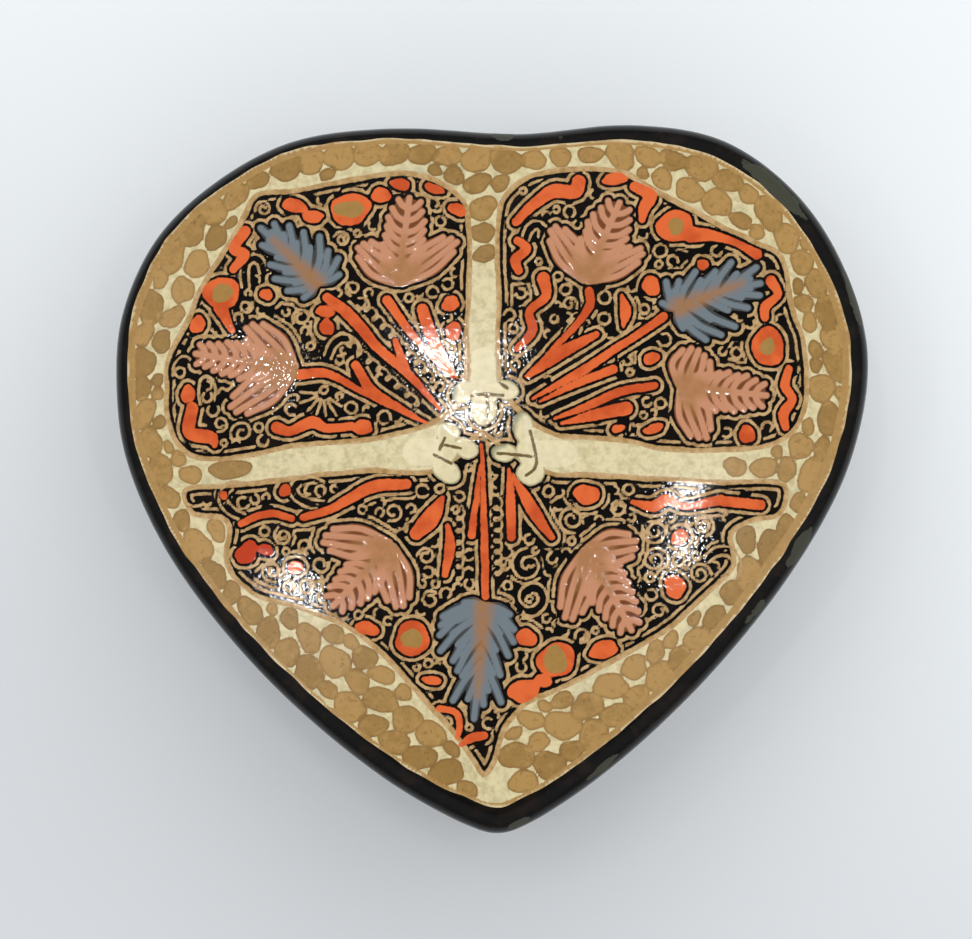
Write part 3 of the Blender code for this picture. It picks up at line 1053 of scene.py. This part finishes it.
def contour(chart, distance, offset, kept):
    """A gold line at one distance from some paint, wherever the kept field is above 0."""
    near = np.abs(distance - offset) - LINE_WIDTH / 2.0
    near = np.maximum(near, -1.5 * kept)
    chart.paint["gold"] = np.minimum(chart.paint["gold"], near)


def measure_gold_again(chart):
    """Measures how far the gold is from where it shows, since a trimmed line leaves a low value."""
    field = chart.paint["gold"]
    shows = np.where(field < 0.05, np.maximum(field, 0.0), FAR)
    far = np.full(field.shape, FAR)
    shifts = range(-GOLD_CELLS, GOLD_CELLS + 1)
    for down, across in itertools.product(shifts, shifts):
        step = math.hypot(down, across) * LATTICE
        far = np.minimum(far, np.roll(shows, (down, across), axis=(0, 1)) + step)
    chart.paint["gold"] = np.where(far < 0.4, field, np.maximum(field, far))


def broken_lines(chart, seed):
    """A slow noise over the lattice, by which the painter's lines stop and start."""
    plan = chart.plan / BREAK_LENGTH
    return rows([noise.noise(Vector((x, y, seed))) for x, y in plan]).reshape(chart.tone.shape)


def motif_distance(chart):
    """How far each point of the lattice is from the nearest motif."""
    return np.minimum.reduce([chart.paint[name] for name in MOTIFS])


def paint_named_scrolls(chart):
    """The larger scrolls, each in its own place."""
    for row in SPRINGS:
        spring(chart, *row)
    for row in ARCHES:
        arches(chart, *row)
    for x, y, radius, turns, start, side in SPIRALS:
        radius = min(radius, clear_of_motifs(chart, x, y) - LINE_GAP - LINE_WIDTH)
        if radius > 0.8:
            spiral(chart, x, y, radius, turns, start, side)
        elif radius > 0.3:
            small_scroll(chart, x, y, radius)
    fan(chart, *FAN)


def clear_of_motifs(chart, x, y):
    """How far a place is from the nearest motif or edge of its field."""
    return min(-chart.near("ground", x, y), *(chart.near(name, x, y) for name in MOTIFS))


def free_room(chart, where=np.s_[:, :]):
    """How far each point inside the black fields is from any paint."""
    room = -chart.paint["ground"][where]
    for name in (*MOTIFS, "gold", "border_line"):
        room = np.minimum(room, chart.paint[name][where])
    return room


def fill_with_scrolls(chart):
    """Small curls in whatever black is left, the widest gap first."""
    room = free_room(chart)
    for _ in range(MOST_CURLS):
        row, column = np.unravel_index(np.argmax(room), room.shape)
        clear = room[row, column]
        radius = clear - CURL_GAP - LINE_WIDTH / 2.0
        if radius < SMALLEST_CURL:
            break
        x, y = chart.x[column], chart.y[row]
        small_scroll(chart, x, y, radius)
        where = chart.window(rows(((x, y),)), radius + 2.0)[0]
        room[where] = np.minimum(free_room(chart, where), room[where])
        room[row, column] = min(room[row, column], clear - 0.12)


def small_scroll(chart, x, y, radius):
    """One curl that fits a gap: a hook, an open ring with a dab in it, or a spiral, by its size."""
    start = hand.uniform(0.0, 360.0)
    side = hand.choice((-1.0, 1.0))
    if radius < 0.36:
        spiral(chart, x, y, radius + 0.08, hand.uniform(0.3, 0.5), start, side, 1.2)
    elif radius < 0.8:
        spiral(chart, x, y, radius, hand.uniform(0.7, 1.0), start, side, hand.uniform(0.85, 1.0))
    elif radius < 1.15:
        spiral(chart, x, y, radius, hand.uniform(1.1, 1.35), start, side, hand.uniform(0.36, 0.5))
    else:
        spiral(chart, x, y, radius, hand.uniform(1.4, 1.8), start, side, 0.25)


def paint_picture():
    """The whole painting, in the order in which a painter lays it."""
    chart = PaintMap()
    depth = distance_to(OUTLINE, chart.plan)
    is_outside = np.hypot(*chart.plan.T) > at_heading(chart.plan, REACHES)
    depth = np.where(is_outside, -depth, depth)
    margin_depth = (depth - at_heading(chart.plan, MARGIN_WIDTHS)).reshape(chart.tone.shape)
    margin_line = margin_outline()
    paint_ground(chart)
    paint_border(chart)
    paint_dots(chart, margin_depth)
    paint_motifs(chart)
    paint_knobs(chart)
    paint_named_scrolls(chart)
    paint_outlines(chart)
    paint_echoes(chart)
    fill_with_scrolls(chart)
    gold_clear = LEAST_GAP - motif_distance(chart)
    chart.paint["gold"] = np.maximum(chart.paint["gold"], gold_clear)
    chart.paint["edge"] = np.clip(margin_depth, 0.0, FAR)
    return chart, margin_depth, margin_line


def margin_outline():
    """The painting's own outline: the heart's outline drawn in by the black margin."""
    toward = np.roll(OUTLINE, -1, axis=0) - np.roll(OUTLINE, 1, axis=0)
    inward = np.column_stack((-toward[:, 1], toward[:, 0])) / np.hypot(*toward.T)[:, None]
    return wobbled(OUTLINE + inward * MARGIN_WIDTHS[:, None], 0.16)


# The skin of paint


def make_painting():
    """The painted skin: the lattice inside the margin, laid over the lid's top and tucked into it."""
    chart, margin_depth, margin_line = paint_picture()
    columns, down = len(chart.x), len(chart.y)
    bm = bmesh.new()
    bmesh.ops.create_grid(bm, x_segments=columns - 1, y_segments=down - 1, size=0.5)
    low = Vector((chart.x[0], chart.y[0], 0.0))
    span = Vector((chart.x[-1] - chart.x[0], chart.y[-1] - chart.y[0], 1.0))
    bmesh.ops.translate(bm, verts=bm.verts, vec=(0.5, 0.5, 0.0))
    bmesh.ops.scale(bm, verts=bm.verts, vec=span)
    bmesh.ops.translate(bm, verts=bm.verts, vec=low)
    lattice = bm.verts.layers.int.new("lattice")
    outside = []
    for corner in bm.verts:
        column = int(round((corner.co.x - chart.x[0]) / LATTICE))
        row = int(round((corner.co.y - chart.y[0]) / LATTICE))
        corner[lattice] = row * columns + column
        if margin_depth[row, column] < 0.0:
            outside.append(corner)
    bmesh.ops.delete(bm, geom=outside, context="VERTS")
    loose = [corner for corner in bm.verts if not corner.link_faces]
    bmesh.ops.delete(bm, geom=loose, context="VERTS")
    rim = [corner for corner in bm.verts if corner.is_boundary]
    line = smooth_line(margin_line, closed=True, spacing=0.05)
    for corner in rim:
        away = line - (corner.co.x, corner.co.y)
        nearest = line[np.argmin((away**2).sum(axis=1))]
        corner.co.x, corner.co.y = nearest
    bmesh.ops.remove_doubles(bm, verts=rim, dist=0.04)
    corners = list(bm.verts)
    plan = rows([corner.co[:2] for corner in corners])
    heights = lid_heights(plan) + PAINT_THICKNESS
    for corner, height in zip(corners, heights):
        corner.co.z = height
    edges = [edge for edge in bm.edges if edge.is_boundary]
    grown = bmesh.ops.extrude_edge_only(bm, edges=edges)["geom"]
    tucked = [item for item in grown if isinstance(item, bmesh.types.BMVert)]
    bmesh.ops.translate(bm, verts=tucked, vec=(0.0, 0.0, -PAINT_TUCK))
    lower_rim = [item for item in grown if isinstance(item, bmesh.types.BMEdge)]
    bmesh.ops.contextual_create(bm, geom=lower_rim)
    bmesh.ops.scale(bm, verts=bm.verts, vec=(MM, MM, MM))
    bmesh.ops.recalc_face_normals(bm, faces=bm.faces)
    places = [corner[lattice] for corner in bm.verts]
    piece = finished("lid_painting", bm)
    for name in PAINTS:
        add_numbers(piece, name, chart.paint[name].ravel()[places])
    add_numbers(piece, "tone", chart.tone.ravel()[places])
    return piece


# Materials


def colour(red, green, blue):
    """A colour given as it looks on a screen, 0 to 255, as the shader takes it."""
    parts = []
    for part in (red, green, blue):
        share = part / 255.0
        parts.append(share / 12.92 if share <= 0.04045 else ((share + 0.055) / 1.055) ** 2.4)
    return (*parts, 1.0)


LACQUER_BLACK = colour(15, 14, 13)
BROWN_BLACK = colour(34, 26, 22)
# Grey-olive of rubbed lacquer, also used as painted reflection on the lid's edge
WORN_AND_SHEEN_OLIVE = colour(74, 75, 62)
CREAM = colour(232, 218, 172)
CREAM_LIGHT = colour(246, 234, 194)
CREAM_SHADE = colour(200, 184, 138)
CREAM_GREY = colour(176, 180, 150)
KNOB_SHADE = colour(162, 162, 130)
KNOB_LINE = colour(116, 98, 58)
PALE_EDGE_HIGHLIGHT = colour(222, 200, 156)
DOT_BROWN = colour(158, 122, 64)
DOT_LIGHT = colour(186, 146, 84)
DOT_RIM = colour(112, 82, 42)
LINE_GOLD = colour(210, 174, 124)
LINE_SHADE = colour(158, 122, 76)
BORDER_GOLD = colour(172, 134, 78)
EDGE_KHAKI = colour(134, 114, 70)
FLAME_ORANGE = colour(236, 112, 60)
BURNT_ORANGE = colour(208, 86, 44)
LEAF_PINK = colour(208, 148, 113)
LEAF_PINK_SHADE = colour(124, 74, 44)
LEAF_BLUE = colour(120, 131, 138)
LEAF_BLUE_SHADE = colour(72, 74, 74)
LEAF_GOLD = colour(172, 122, 76)
DEEP_RED = colour(200, 70, 40)


class Graph:
    """A material's nodes, added one by one."""

    def __init__(self, tree):
        self.tree = tree

    def node(self, kind, **settings):
        made = self.tree.nodes.new(kind)
        for name, value in settings.items():
            setattr(made, name, value)
        return made

    def feed(self, socket, value):
        """Links an output to a socket, or sets its value."""
        if isinstance(value, bpy.types.NodeSocket):
            self.tree.links.new(value, socket)
        else:
            socket.default_value = value

    def number(self, name):
        """A number that the piece holds at each point."""
        return self.node("ShaderNodeAttribute", attribute_name=name).outputs["Fac"]

    def math(self, operation, first, second=0.0, third=0.0):
        made = self.node("ShaderNodeMath", operation=operation)
        for socket, value in zip(made.inputs, (first, second, third)):
            self.feed(socket, value)
        return made.outputs[0]

    def times(self, first, second):
        return self.math("MULTIPLY", first, second)

    def plus(self, first, second):
        return self.math("ADD", first, second)

    def ramp(self, value, low, high, to_low=0.0, to_high=1.0):
        """A value brought smoothly from one range to another, and held at its ends."""
        made = self.node("ShaderNodeMapRange", interpolation_type="SMOOTHSTEP")
        for socket, given in zip(made.inputs, (value, low, high, to_low, to_high)):
            self.feed(socket, given)
        return made.outputs[0]

    def mix(self, share, first, second):
        """One colour over another."""
        made = self.node("ShaderNodeMix", data_type="RGBA")
        self.feed(made.inputs["Factor"], share)
        self.feed(made.inputs["A"], first)
        self.feed(made.inputs["B"], second)
        return made.outputs["Result"]

    def blend(self, share, first, second):
        """One number blended into another."""
        made = self.node("ShaderNodeMix", data_type="FLOAT")
        self.feed(made.inputs["Factor"], share)
        self.feed(made.inputs["A"], first)
        self.feed(made.inputs["B"], second)
        return made.outputs["Result"]

    def places(self):
        return self.node("ShaderNodeTexCoord").outputs["Object"]

    def cloud(self, size, detail=3.0, roughness=0.55, stretch=None):
        """Noise whose lumps are about a size in mm."""
        made = self.node("ShaderNodeTexNoise")
        place = self.places()
        if stretch is not None:
            mapping = self.node("ShaderNodeMapping")
            self.feed(mapping.inputs["Vector"], place)
            mapping.inputs["Scale"].default_value = stretch
            place = mapping.outputs["Vector"]
        self.feed(made.inputs["Vector"], place)
        made.inputs["Scale"].default_value = 1.0 / (size * MM)
        made.inputs["Detail"].default_value = detail
        made.inputs["Roughness"].default_value = roughness
        return made.outputs["Fac"]

    def specks(self, size, amount):
        """A mask of separate small specks, about a size apart in mm."""
        made = self.node("ShaderNodeTexVoronoi", feature="F1")
        self.feed(made.inputs["Vector"], self.places())
        made.inputs["Scale"].default_value = 1.0 / (size * MM)
        chosen = self.node("ShaderNodeSeparateColor")
        self.feed(chosen.inputs[0], made.outputs["Color"])
        small = self.ramp(made.outputs["Distance"], 0.10, 0.22, 1.0, 0.0)
        some = self.math("LESS_THAN", chosen.outputs[0], amount)
        return self.times(small, some)


def new_material(name):
    """An empty material with its shader, and its graph."""
    material = bpy.data.materials.new(name)
    material.use_nodes = True
    shader = material.node_tree.nodes["Principled BSDF"]
    return material, Graph(material.node_tree), shader


def varnish_group():
    """Clear varnish brushed on by hand: its height, and how dull it is in places."""
    group = bpy.data.node_groups.new("brushed varnish", "ShaderNodeTree")
    for name, default in (("Fine", 1.0), ("Swell", 1.0)):
        socket = group.interface.new_socket(name, in_out="INPUT", socket_type="NodeSocketFloat")
        socket.default_value = default
    group.interface.new_socket("Height", in_out="OUTPUT", socket_type="NodeSocketFloat")
    group.interface.new_socket("Dull", in_out="OUTPUT", socket_type="NodeSocketFloat")
    graph = Graph(group)
    given = graph.node("NodeGroupInput")
    taken = graph.node("NodeGroupOutput")
    fine = graph.times(graph.cloud(0.42, 2.0, 0.5), given.outputs["Fine"])
    swell = graph.times(graph.cloud(3.4, 2.0, 0.5), given.outputs["Swell"])
    graph.feed(taken.inputs["Height"], graph.plus(fine, swell))
    graph.feed(taken.inputs["Dull"], graph.ramp(graph.cloud(6.0, 4.0, 0.6), 0.40, 0.72))
    return group


def use_varnish(graph, varnish, fine, swell):
    """The varnish group in a material, with its own strengths."""
    made = graph.node("ShaderNodeGroup", node_tree=varnish)
    made.inputs["Fine"].default_value = fine
    made.inputs["Swell"].default_value = swell
    return made.outputs["Height"], made.outputs["Dull"]


def bump(graph, shader, height, distance):
    """Feeds a height to the shader's normal. The distance is in mm for a height of 1."""
    made = graph.node("ShaderNodeBump")
    made.inputs["Strength"].default_value = 1.0
    made.inputs["Distance"].default_value = distance * MM
    graph.feed(made.inputs["Height"], height)
    graph.feed(shader.inputs["Normal"], made.outputs["Normal"])


def lacquer_material(varnish):
    """Glossy black lacquer, rubbed through to a grey-olive coat in a few places on the edge, partly
    painted reflection.
    """
    material, graph, shader = new_material("black lacquer")
    height, dull = use_varnish(graph, varnish, 0.25, 1.0)
    shader.inputs["Specular IOR Level"].default_value = 0.2
    # Grey-olive patches: part wear, part painted reflection in the glossy edge
    worn_and_sheen = graph.plus(graph.number("worn_and_sheen"), graph.times(graph.cloud(1.6), 1.1))
    worn_and_sheen = graph.ramp(worn_and_sheen, 0.62, 0.50)
    tint = graph.mix(graph.ramp(graph.cloud(2.5), 0.45, 0.75), LACQUER_BLACK, BROWN_BLACK)
    tint = graph.mix(graph.times(graph.specks(1.5, 0.12), 0.5), tint, WORN_AND_SHEEN_OLIVE)
    tint = graph.mix(graph.times(worn_and_sheen, 0.85), tint, WORN_AND_SHEEN_OLIVE)
    graph.feed(shader.inputs["Base Color"], tint)
    rough = graph.blend(dull, 0.13, 0.26)
    graph.feed(shader.inputs["Roughness"], graph.blend(worn_and_sheen, rough, 0.5))
    bump(graph, shader, graph.math("SUBTRACT", height, graph.times(worn_and_sheen, 0.6)), 0.03)
    return material


def inside_material(varnish):
    """Thinner, duller black lacquer inside the box, over the grain of pasted paper."""
    material, graph, shader = new_material("inside lacquer")
    height, dull = use_varnish(graph, varnish, 0.8, 1.6)
    tint = graph.mix(graph.ramp(graph.cloud(1.2, 5.0, 0.7), 0.35, 0.75), LACQUER_BLACK, BROWN_BLACK)
    graph.feed(shader.inputs["Base Color"], tint)
    graph.feed(shader.inputs["Roughness"], graph.blend(dull, 0.38, 0.55))
    bump(graph, shader, height, 0.06)
    return material


def painting_material(varnish):
    """All the paints of the lid, laid over one another under one varnish."""
    material, graph, shader = new_material("lid painting")
    ragged = graph.times(graph.math("SUBTRACT", graph.cloud(0.5, 2.0), 0.5), 0.22)
    mottle = graph.cloud(0.9, 4.0, 0.65)
    patch = graph.cloud(4.5, 3.0, 0.6)

    def covers(name, edge=0.0, soft=0.05):
        distance = graph.plus(graph.number(name), ragged)
        return graph.ramp(distance, edge + soft, edge - soft)

    ink = graph.mix(graph.ramp(patch, 0.45, 0.8), LACQUER_BLACK, BROWN_BLACK)
    cream = graph.mix(graph.ramp(mottle, 0.35, 0.75), CREAM, CREAM_SHADE)
    cream = graph.mix(graph.ramp(patch, 0.55, 0.75, 0.0, 0.45), cream, CREAM_GREY)
    is_cream = graph.math("SUBTRACT", 1.0, covers("ground"))
    layer = graph.mix(is_cream, ink, cream)

    lit = graph.plus(graph.times(graph.number("tone"), 0.3), mottle)
    lit = graph.ramp(lit, 0.2, 0.8)
    brown = graph.mix(lit, DOT_BROWN, DOT_LIGHT)
    rim = graph.ramp(graph.number("dots"), -0.34, -0.06)
    brown = graph.mix(graph.times(rim, 0.42), brown, DOT_RIM)
    dabbed = graph.ramp(graph.cloud(0.5, 3.0, 0.6), 0.56, 0.70)
    brown = graph.mix(graph.times(dabbed, 0.45), brown, DOT_RIM)
    layer = graph.mix(covers("dots"), layer, brown)
    band = graph.mix(graph.ramp(mottle, 0.3, 0.7), BORDER_GOLD, DOT_LIGHT)
    layer = graph.mix(covers("border_band"), layer, band)
    # A broken pale line just inside the painting's outer edge: a painted highlight on the paint layer's
    # edge
    at_edge = graph.ramp(graph.number("edge"), 0.34, 0.18)
    pale = graph.times(at_edge, graph.ramp(patch, 0.40, 0.55))
    layer = graph.mix(pale, layer, PALE_EDGE_HIGHLIGHT)

    edge_gold = graph.mix(graph.ramp(mottle, 0.3, 0.7), BORDER_GOLD, LINE_GOLD)
    layer = graph.mix(covers("border_line"), layer, edge_gold)

    flame = graph.mix(graph.ramp(patch, 0.40, 0.66), FLAME_ORANGE, BURNT_ORANGE)
    layer = graph.mix(covers("orange"), layer, flame)
    layer = graph.mix(covers("red"), layer, DEEP_RED)

    between = graph.ramp(graph.number("ribs"), 0.22, 0.41)
    core = graph.ramp(graph.number("rib_core"), 0.7, -0.7)
    core = graph.times(core, graph.ramp(mottle, 0.2, 0.6, 0.5, 1.0))
    pink = graph.mix(between, LEAF_PINK, LEAF_PINK_SHADE)
    pink = graph.mix(graph.times(core, 0.8), pink, LEAF_GOLD)
    layer = graph.mix(covers("pink"), layer, pink)
    blue = graph.mix(between, LEAF_BLUE, LEAF_BLUE_SHADE)
    blue = graph.mix(graph.times(core, 0.9), blue, LEAF_GOLD)
    layer = graph.mix(covers("blue"), layer, blue)

    line_gold = graph.mix(graph.ramp(mottle, 0.35, 0.75), LINE_GOLD, LINE_SHADE)
    is_line = covers("gold", 0.0, 0.04)
    layer = graph.mix(is_line, layer, line_gold)
    layer = graph.mix(covers("hearts"), layer, graph.mix(mottle, DOT_BROWN, DOT_LIGHT))

    shaded = graph.ramp(graph.number("knob_light"), -0.25, 0.30)
    knob = graph.mix(0.5, cream, CREAM_LIGHT)
    knob = graph.mix(graph.times(shaded, 0.9), knob, KNOB_SHADE)
    rim = graph.times(graph.ramp(graph.number("knobs"), -0.26, -0.06), covers("ground", 0.4))
    knob = graph.mix(graph.times(rim, 0.6), knob, EDGE_KHAKI)
    layer = graph.mix(covers("knobs"), layer, knob)
    layer = graph.mix(covers("knob_lines"), layer, KNOB_LINE)
    graph.feed(shader.inputs["Base Color"], layer)

    height, dull = use_varnish(graph, varnish, 0.3, 0.5)
    shader.inputs["Specular IOR Level"].default_value = 0.4
    rough = graph.blend(dull, 0.02, 0.05)
    graph.feed(shader.inputs["Roughness"], graph.blend(graph.times(is_cream, 0.8), rough, 0.26))
    stroke = graph.times(graph.ramp(graph.number("ribs"), 0.42, 0.0), covers("pink", 0.0, 0.2))
    raised = graph.plus(height, graph.times(stroke, 0.7))
    raised = graph.plus(raised, graph.times(is_line, 0.4))
    raised = graph.plus(raised, graph.times(is_cream, 0.3))
    bump(graph, shader, raised, 0.03)
    return material


# Worn places on the black margin, partly painted reflection: x, y, half length, half width, and the turn
# of their length
WORN_AND_SHEEN_PLACES = (
    (1.4, 37.3, 1.6, 0.8, 0.0), (31.0, 31.2, 5.2, 1.05, -42.0), (39.4, 19.8, 4.2, 0.8, -72.0),
    (33.4, -7.6, 2.6, 0.8, 60.0), (28.6, -14.6, 2.0, 0.5, 50.0), (-33.5, 27.6, 1.6, 0.5, 52.0),
    (12.0, -31.4, 2.4, 0.4, 40.0), (3.0, -37.4, 1.8, 0.4, 25.0),
)


def mark_wear_and_sheen(piece, level, reach):
    """Writes how far each corner is from a worn place on an edge at a level, 1 being well away; on the
    lid, partly painted reflection.
    """
    places = rows([corner.co for corner in piece.data.vertices]) / MM
    plan = places[:, :2]
    worn_and_sheen = np.ones(len(plan))
    for x, y, half_length, half_width, turn in WORN_AND_SHEEN_PLACES:
        angle = math.radians(turn)
        from_x, from_y = plan[:, 0] - x, plan[:, 1] - y
        along = (from_x * math.cos(angle) + from_y * math.sin(angle)) / half_length
        across = (from_y * math.cos(angle) - from_x * math.sin(angle)) / half_width
        worn_and_sheen = np.minimum(worn_and_sheen, np.hypot(along, across) - 0.9)
    worn_and_sheen = worn_and_sheen + (places[:, 2] - level) ** 2 / reach**2
    add_numbers(piece, "worn_and_sheen", np.clip(worn_and_sheen, -0.4, 1.0))


def paint_faces(piece, outside, inside, is_inside):
    """Gives a shell its two materials: one outside, and one for the faces within its hollow."""
    piece.data.materials.append(outside)
    piece.data.materials.append(inside)
    for face in piece.data.polygons:
        face.material_index = int(is_inside(face.center / MM, face.normal))


def is_within_lid(centre, normal):
    """Whether a face of the lid looks into its hollow."""
    return centre.z < SHOULDER - 0.5 and (normal.z < -0.5 or normal.x * centre.x + normal.y * centre.y < 0)


def is_within_base(centre, normal):
    """Whether a face of the base is on the collar or in the hollow."""
    seam = BASE_HIGH.z - COLLAR_RISE
    return centre.z > seam + 0.02 or (normal.z > 0.5 or normal.x * centre.x + normal.y * centre.y < 0)


# The stage

FLOOR_SIZE = 1.5
FLOOR_LIFT = 0.00002


def make_floor():
    """A pale floor with painted fall-off of light, a hair above the box's underside, so that the two don't
    flicker.
    """
    bm = bmesh.new()
    bmesh.ops.create_grid(bm, x_segments=1, y_segments=1, size=FLOOR_SIZE)
    bmesh.ops.translate(bm, verts=bm.verts, vec=(0.0, 0.0, FLOOR_LIFT))
    mesh = bpy.data.meshes.new("floor")
    bm.to_mesh(mesh)
    bm.free()
    floor = bpy.data.objects.new("floor", mesh)
    bpy.context.scene.collection.objects.link(floor)
    material, graph, shader = new_material("pale floor")
    place = graph.node("ShaderNodeSeparateXYZ")
    graph.feed(place.inputs[0], graph.places())
    # Painted fall-off of light: the floor's colour darkens towards the lower left
    upward = graph.plus(graph.times(place.outputs["X"], 0.4), place.outputs["Y"])
    pale = graph.mix(graph.ramp(upward, -0.07, 0.06), colour(214, 217, 220), colour(246, 250, 252))
    graph.feed(shader.inputs["Base Color"], pale)
    shader.inputs["Roughness"].default_value = 0.8
    # A faint, even glow: painted light, which also lightens the shade near the box
    shader.inputs["Emission Color"].default_value = colour(240, 244, 248)
    shader.inputs["Emission Strength"].default_value = 0.11
    floor.data.materials.append(material)


def aimed(thing, place, target):
    """Puts a light or camera in a place, looking at a target."""
    thing.location = place
    thing.rotation_euler = (Vector(target) - Vector(place)).to_track_quat("-Z", "Y").to_euler()
    bpy.context.scene.collection.objects.link(thing)


def add_light(name, place, size, power):
    """A square soft light, looking at the box, that the lacquer doesn't mirror."""
    light = bpy.data.lights.new(name, "AREA")
    light.shape = "SQUARE"
    light.size = size
    light.energy = power
    lamp = bpy.data.objects.new(name, light)
    lamp.visible_glossy = False
    aimed(lamp, place, (0.0, 0.0, 0.02))


def make_world():
    """An even sky, darker overhead, so that the flat top stays black."""
    world = bpy.data.worlds.new("studio")
    bpy.context.scene.world = world
    world.use_nodes = True
    graph = Graph(world.node_tree)
    background = world.node_tree.nodes["Background"]
    height = graph.node("ShaderNodeSeparateXYZ")
    graph.feed(height.inputs[0], graph.node("ShaderNodeTexCoord").outputs["Generated"])
    low = graph.ramp(height.outputs["Z"], 0.25, 0.60)
    high = graph.ramp(height.outputs["Z"], 0.975, 0.92)
    tint = graph.mix(low, (0.26, 0.265, 0.27, 1.0), (0.45, 0.46, 0.47, 1.0))
    tint = graph.mix(high, (0.05, 0.05, 0.052, 1.0), tint)
    graph.feed(background.inputs["Color"], tint)
    background.inputs["Strength"].default_value = 1.0


# Each soft light: its name, place, size and power
SOFT_LIGHTS = (
    ("key", (0.15, 0.45, 1.2), 1.6, 9.0),
    ("fill", (0.2, -0.7, 1.0), 1.4, 2.8),
)


def make_lights():
    """Large soft lights, and small ones that the varnish mirrors to the camera."""
    for light in SOFT_LIGHTS:
        add_light(*light)
    for x, y in GLINTS:
        add_glint(x, y)


def add_glint(x, y):
    """A small lamp in the direction in which the lid mirrors the camera at a place on its top."""
    spots = rows(((x, y), (x - 1.0, y), (x + 1.0, y), (x, y - 1.0), (x, y + 1.0)))
    level, left, right, near, far = lid_heights(spots)
    place = Vector((x, y, level)) * MM
    normal = Vector(((left - right) / 2.0, (near - far) / 2.0, 1.0)).normalized()
    view = (camera_place() - place).normalized()
    lamp = bpy.data.lights.new("glint", "AREA")
    lamp.shape = "DISK"
    lamp.size = GLINT_SIZE
    lamp.energy = GLINT_POWER
    mirrored = 2.0 * normal.dot(view) * normal - view
    aimed(bpy.data.objects.new("glint", lamp), place + GLINT_DISTANCE * mirrored, place)


def camera_place():
    """Where the camera stands: over the lid, a little towards the lower right."""
    tilt, lean = math.radians(CAMERA_TILT), math.radians(CAMERA_LEAN)
    away = Vector(
        (math.sin(tilt) * math.cos(lean), math.sin(tilt) * math.sin(lean), math.cos(tilt))
    )
    return Vector(CAMERA_TARGET) + away * CAMERA_DISTANCE


def make_camera():
    """The photograph's view: almost straight down on the lid."""
    camera = bpy.data.cameras.new("camera")
    camera.sensor_width = 36.0
    camera.lens = CAMERA_LENS
    thing = bpy.data.objects.new("camera", camera)
    thing.location = camera_place()
    forward = (Vector(CAMERA_TARGET) - thing.location).normalized()
    right = forward.cross(Vector((0.0, 1.0, 0.0))).normalized()
    up = right.cross(forward)
    thing.rotation_euler = Matrix((right, up, -forward)).transposed().to_euler()
    bpy.context.scene.collection.objects.link(thing)
    bpy.context.scene.camera = thing
    bpy.context.scene.view_settings.view_transform = "Standard"


PICTURE_WIDTH_PX = 972.0
MM_PER_PX = 0.1086
CAMERA_DISTANCE = 0.42
CAMERA_TILT = 3.5
CAMERA_LEAN = -60.0
CAMERA_TARGET = (-0.00054, 0.00087, 0.0318)
CAMERA_LENS = 36.0 * CAMERA_DISTANCE / (PICTURE_WIDTH_PX * MM_PER_PX * MM)

# Where the lid glints, in plan, and the small lamps that make it
GLINTS = ((-25.1, 11.7), (-5.4, 12.8), (-2.6, 6.6), (-20.7, -12.2), (21.3, -1.6), (20.6, -8.0))
GLINT_DISTANCE = 0.5
GLINT_SIZE = 0.009
GLINT_POWER = 0.042


def main():
    make_camera()
    make_world()
    make_lights()
    make_floor()
    varnish = varnish_group()
    lacquer = lacquer_material(varnish)
    inside = inside_material(varnish)
    lid = make_lid_shell()
    mark_wear_and_sheen(lid, SHOULDER, 3.6)
    paint_faces(lid, lacquer, inside, is_within_lid)
    base = make_base_shell()
    mark_wear_and_sheen(base, 0.0, 1.8)
    paint_faces(base, lacquer, inside, is_within_base)
    painting = make_painting()
    painting.data.materials.append(painting_material(varnish))


main()
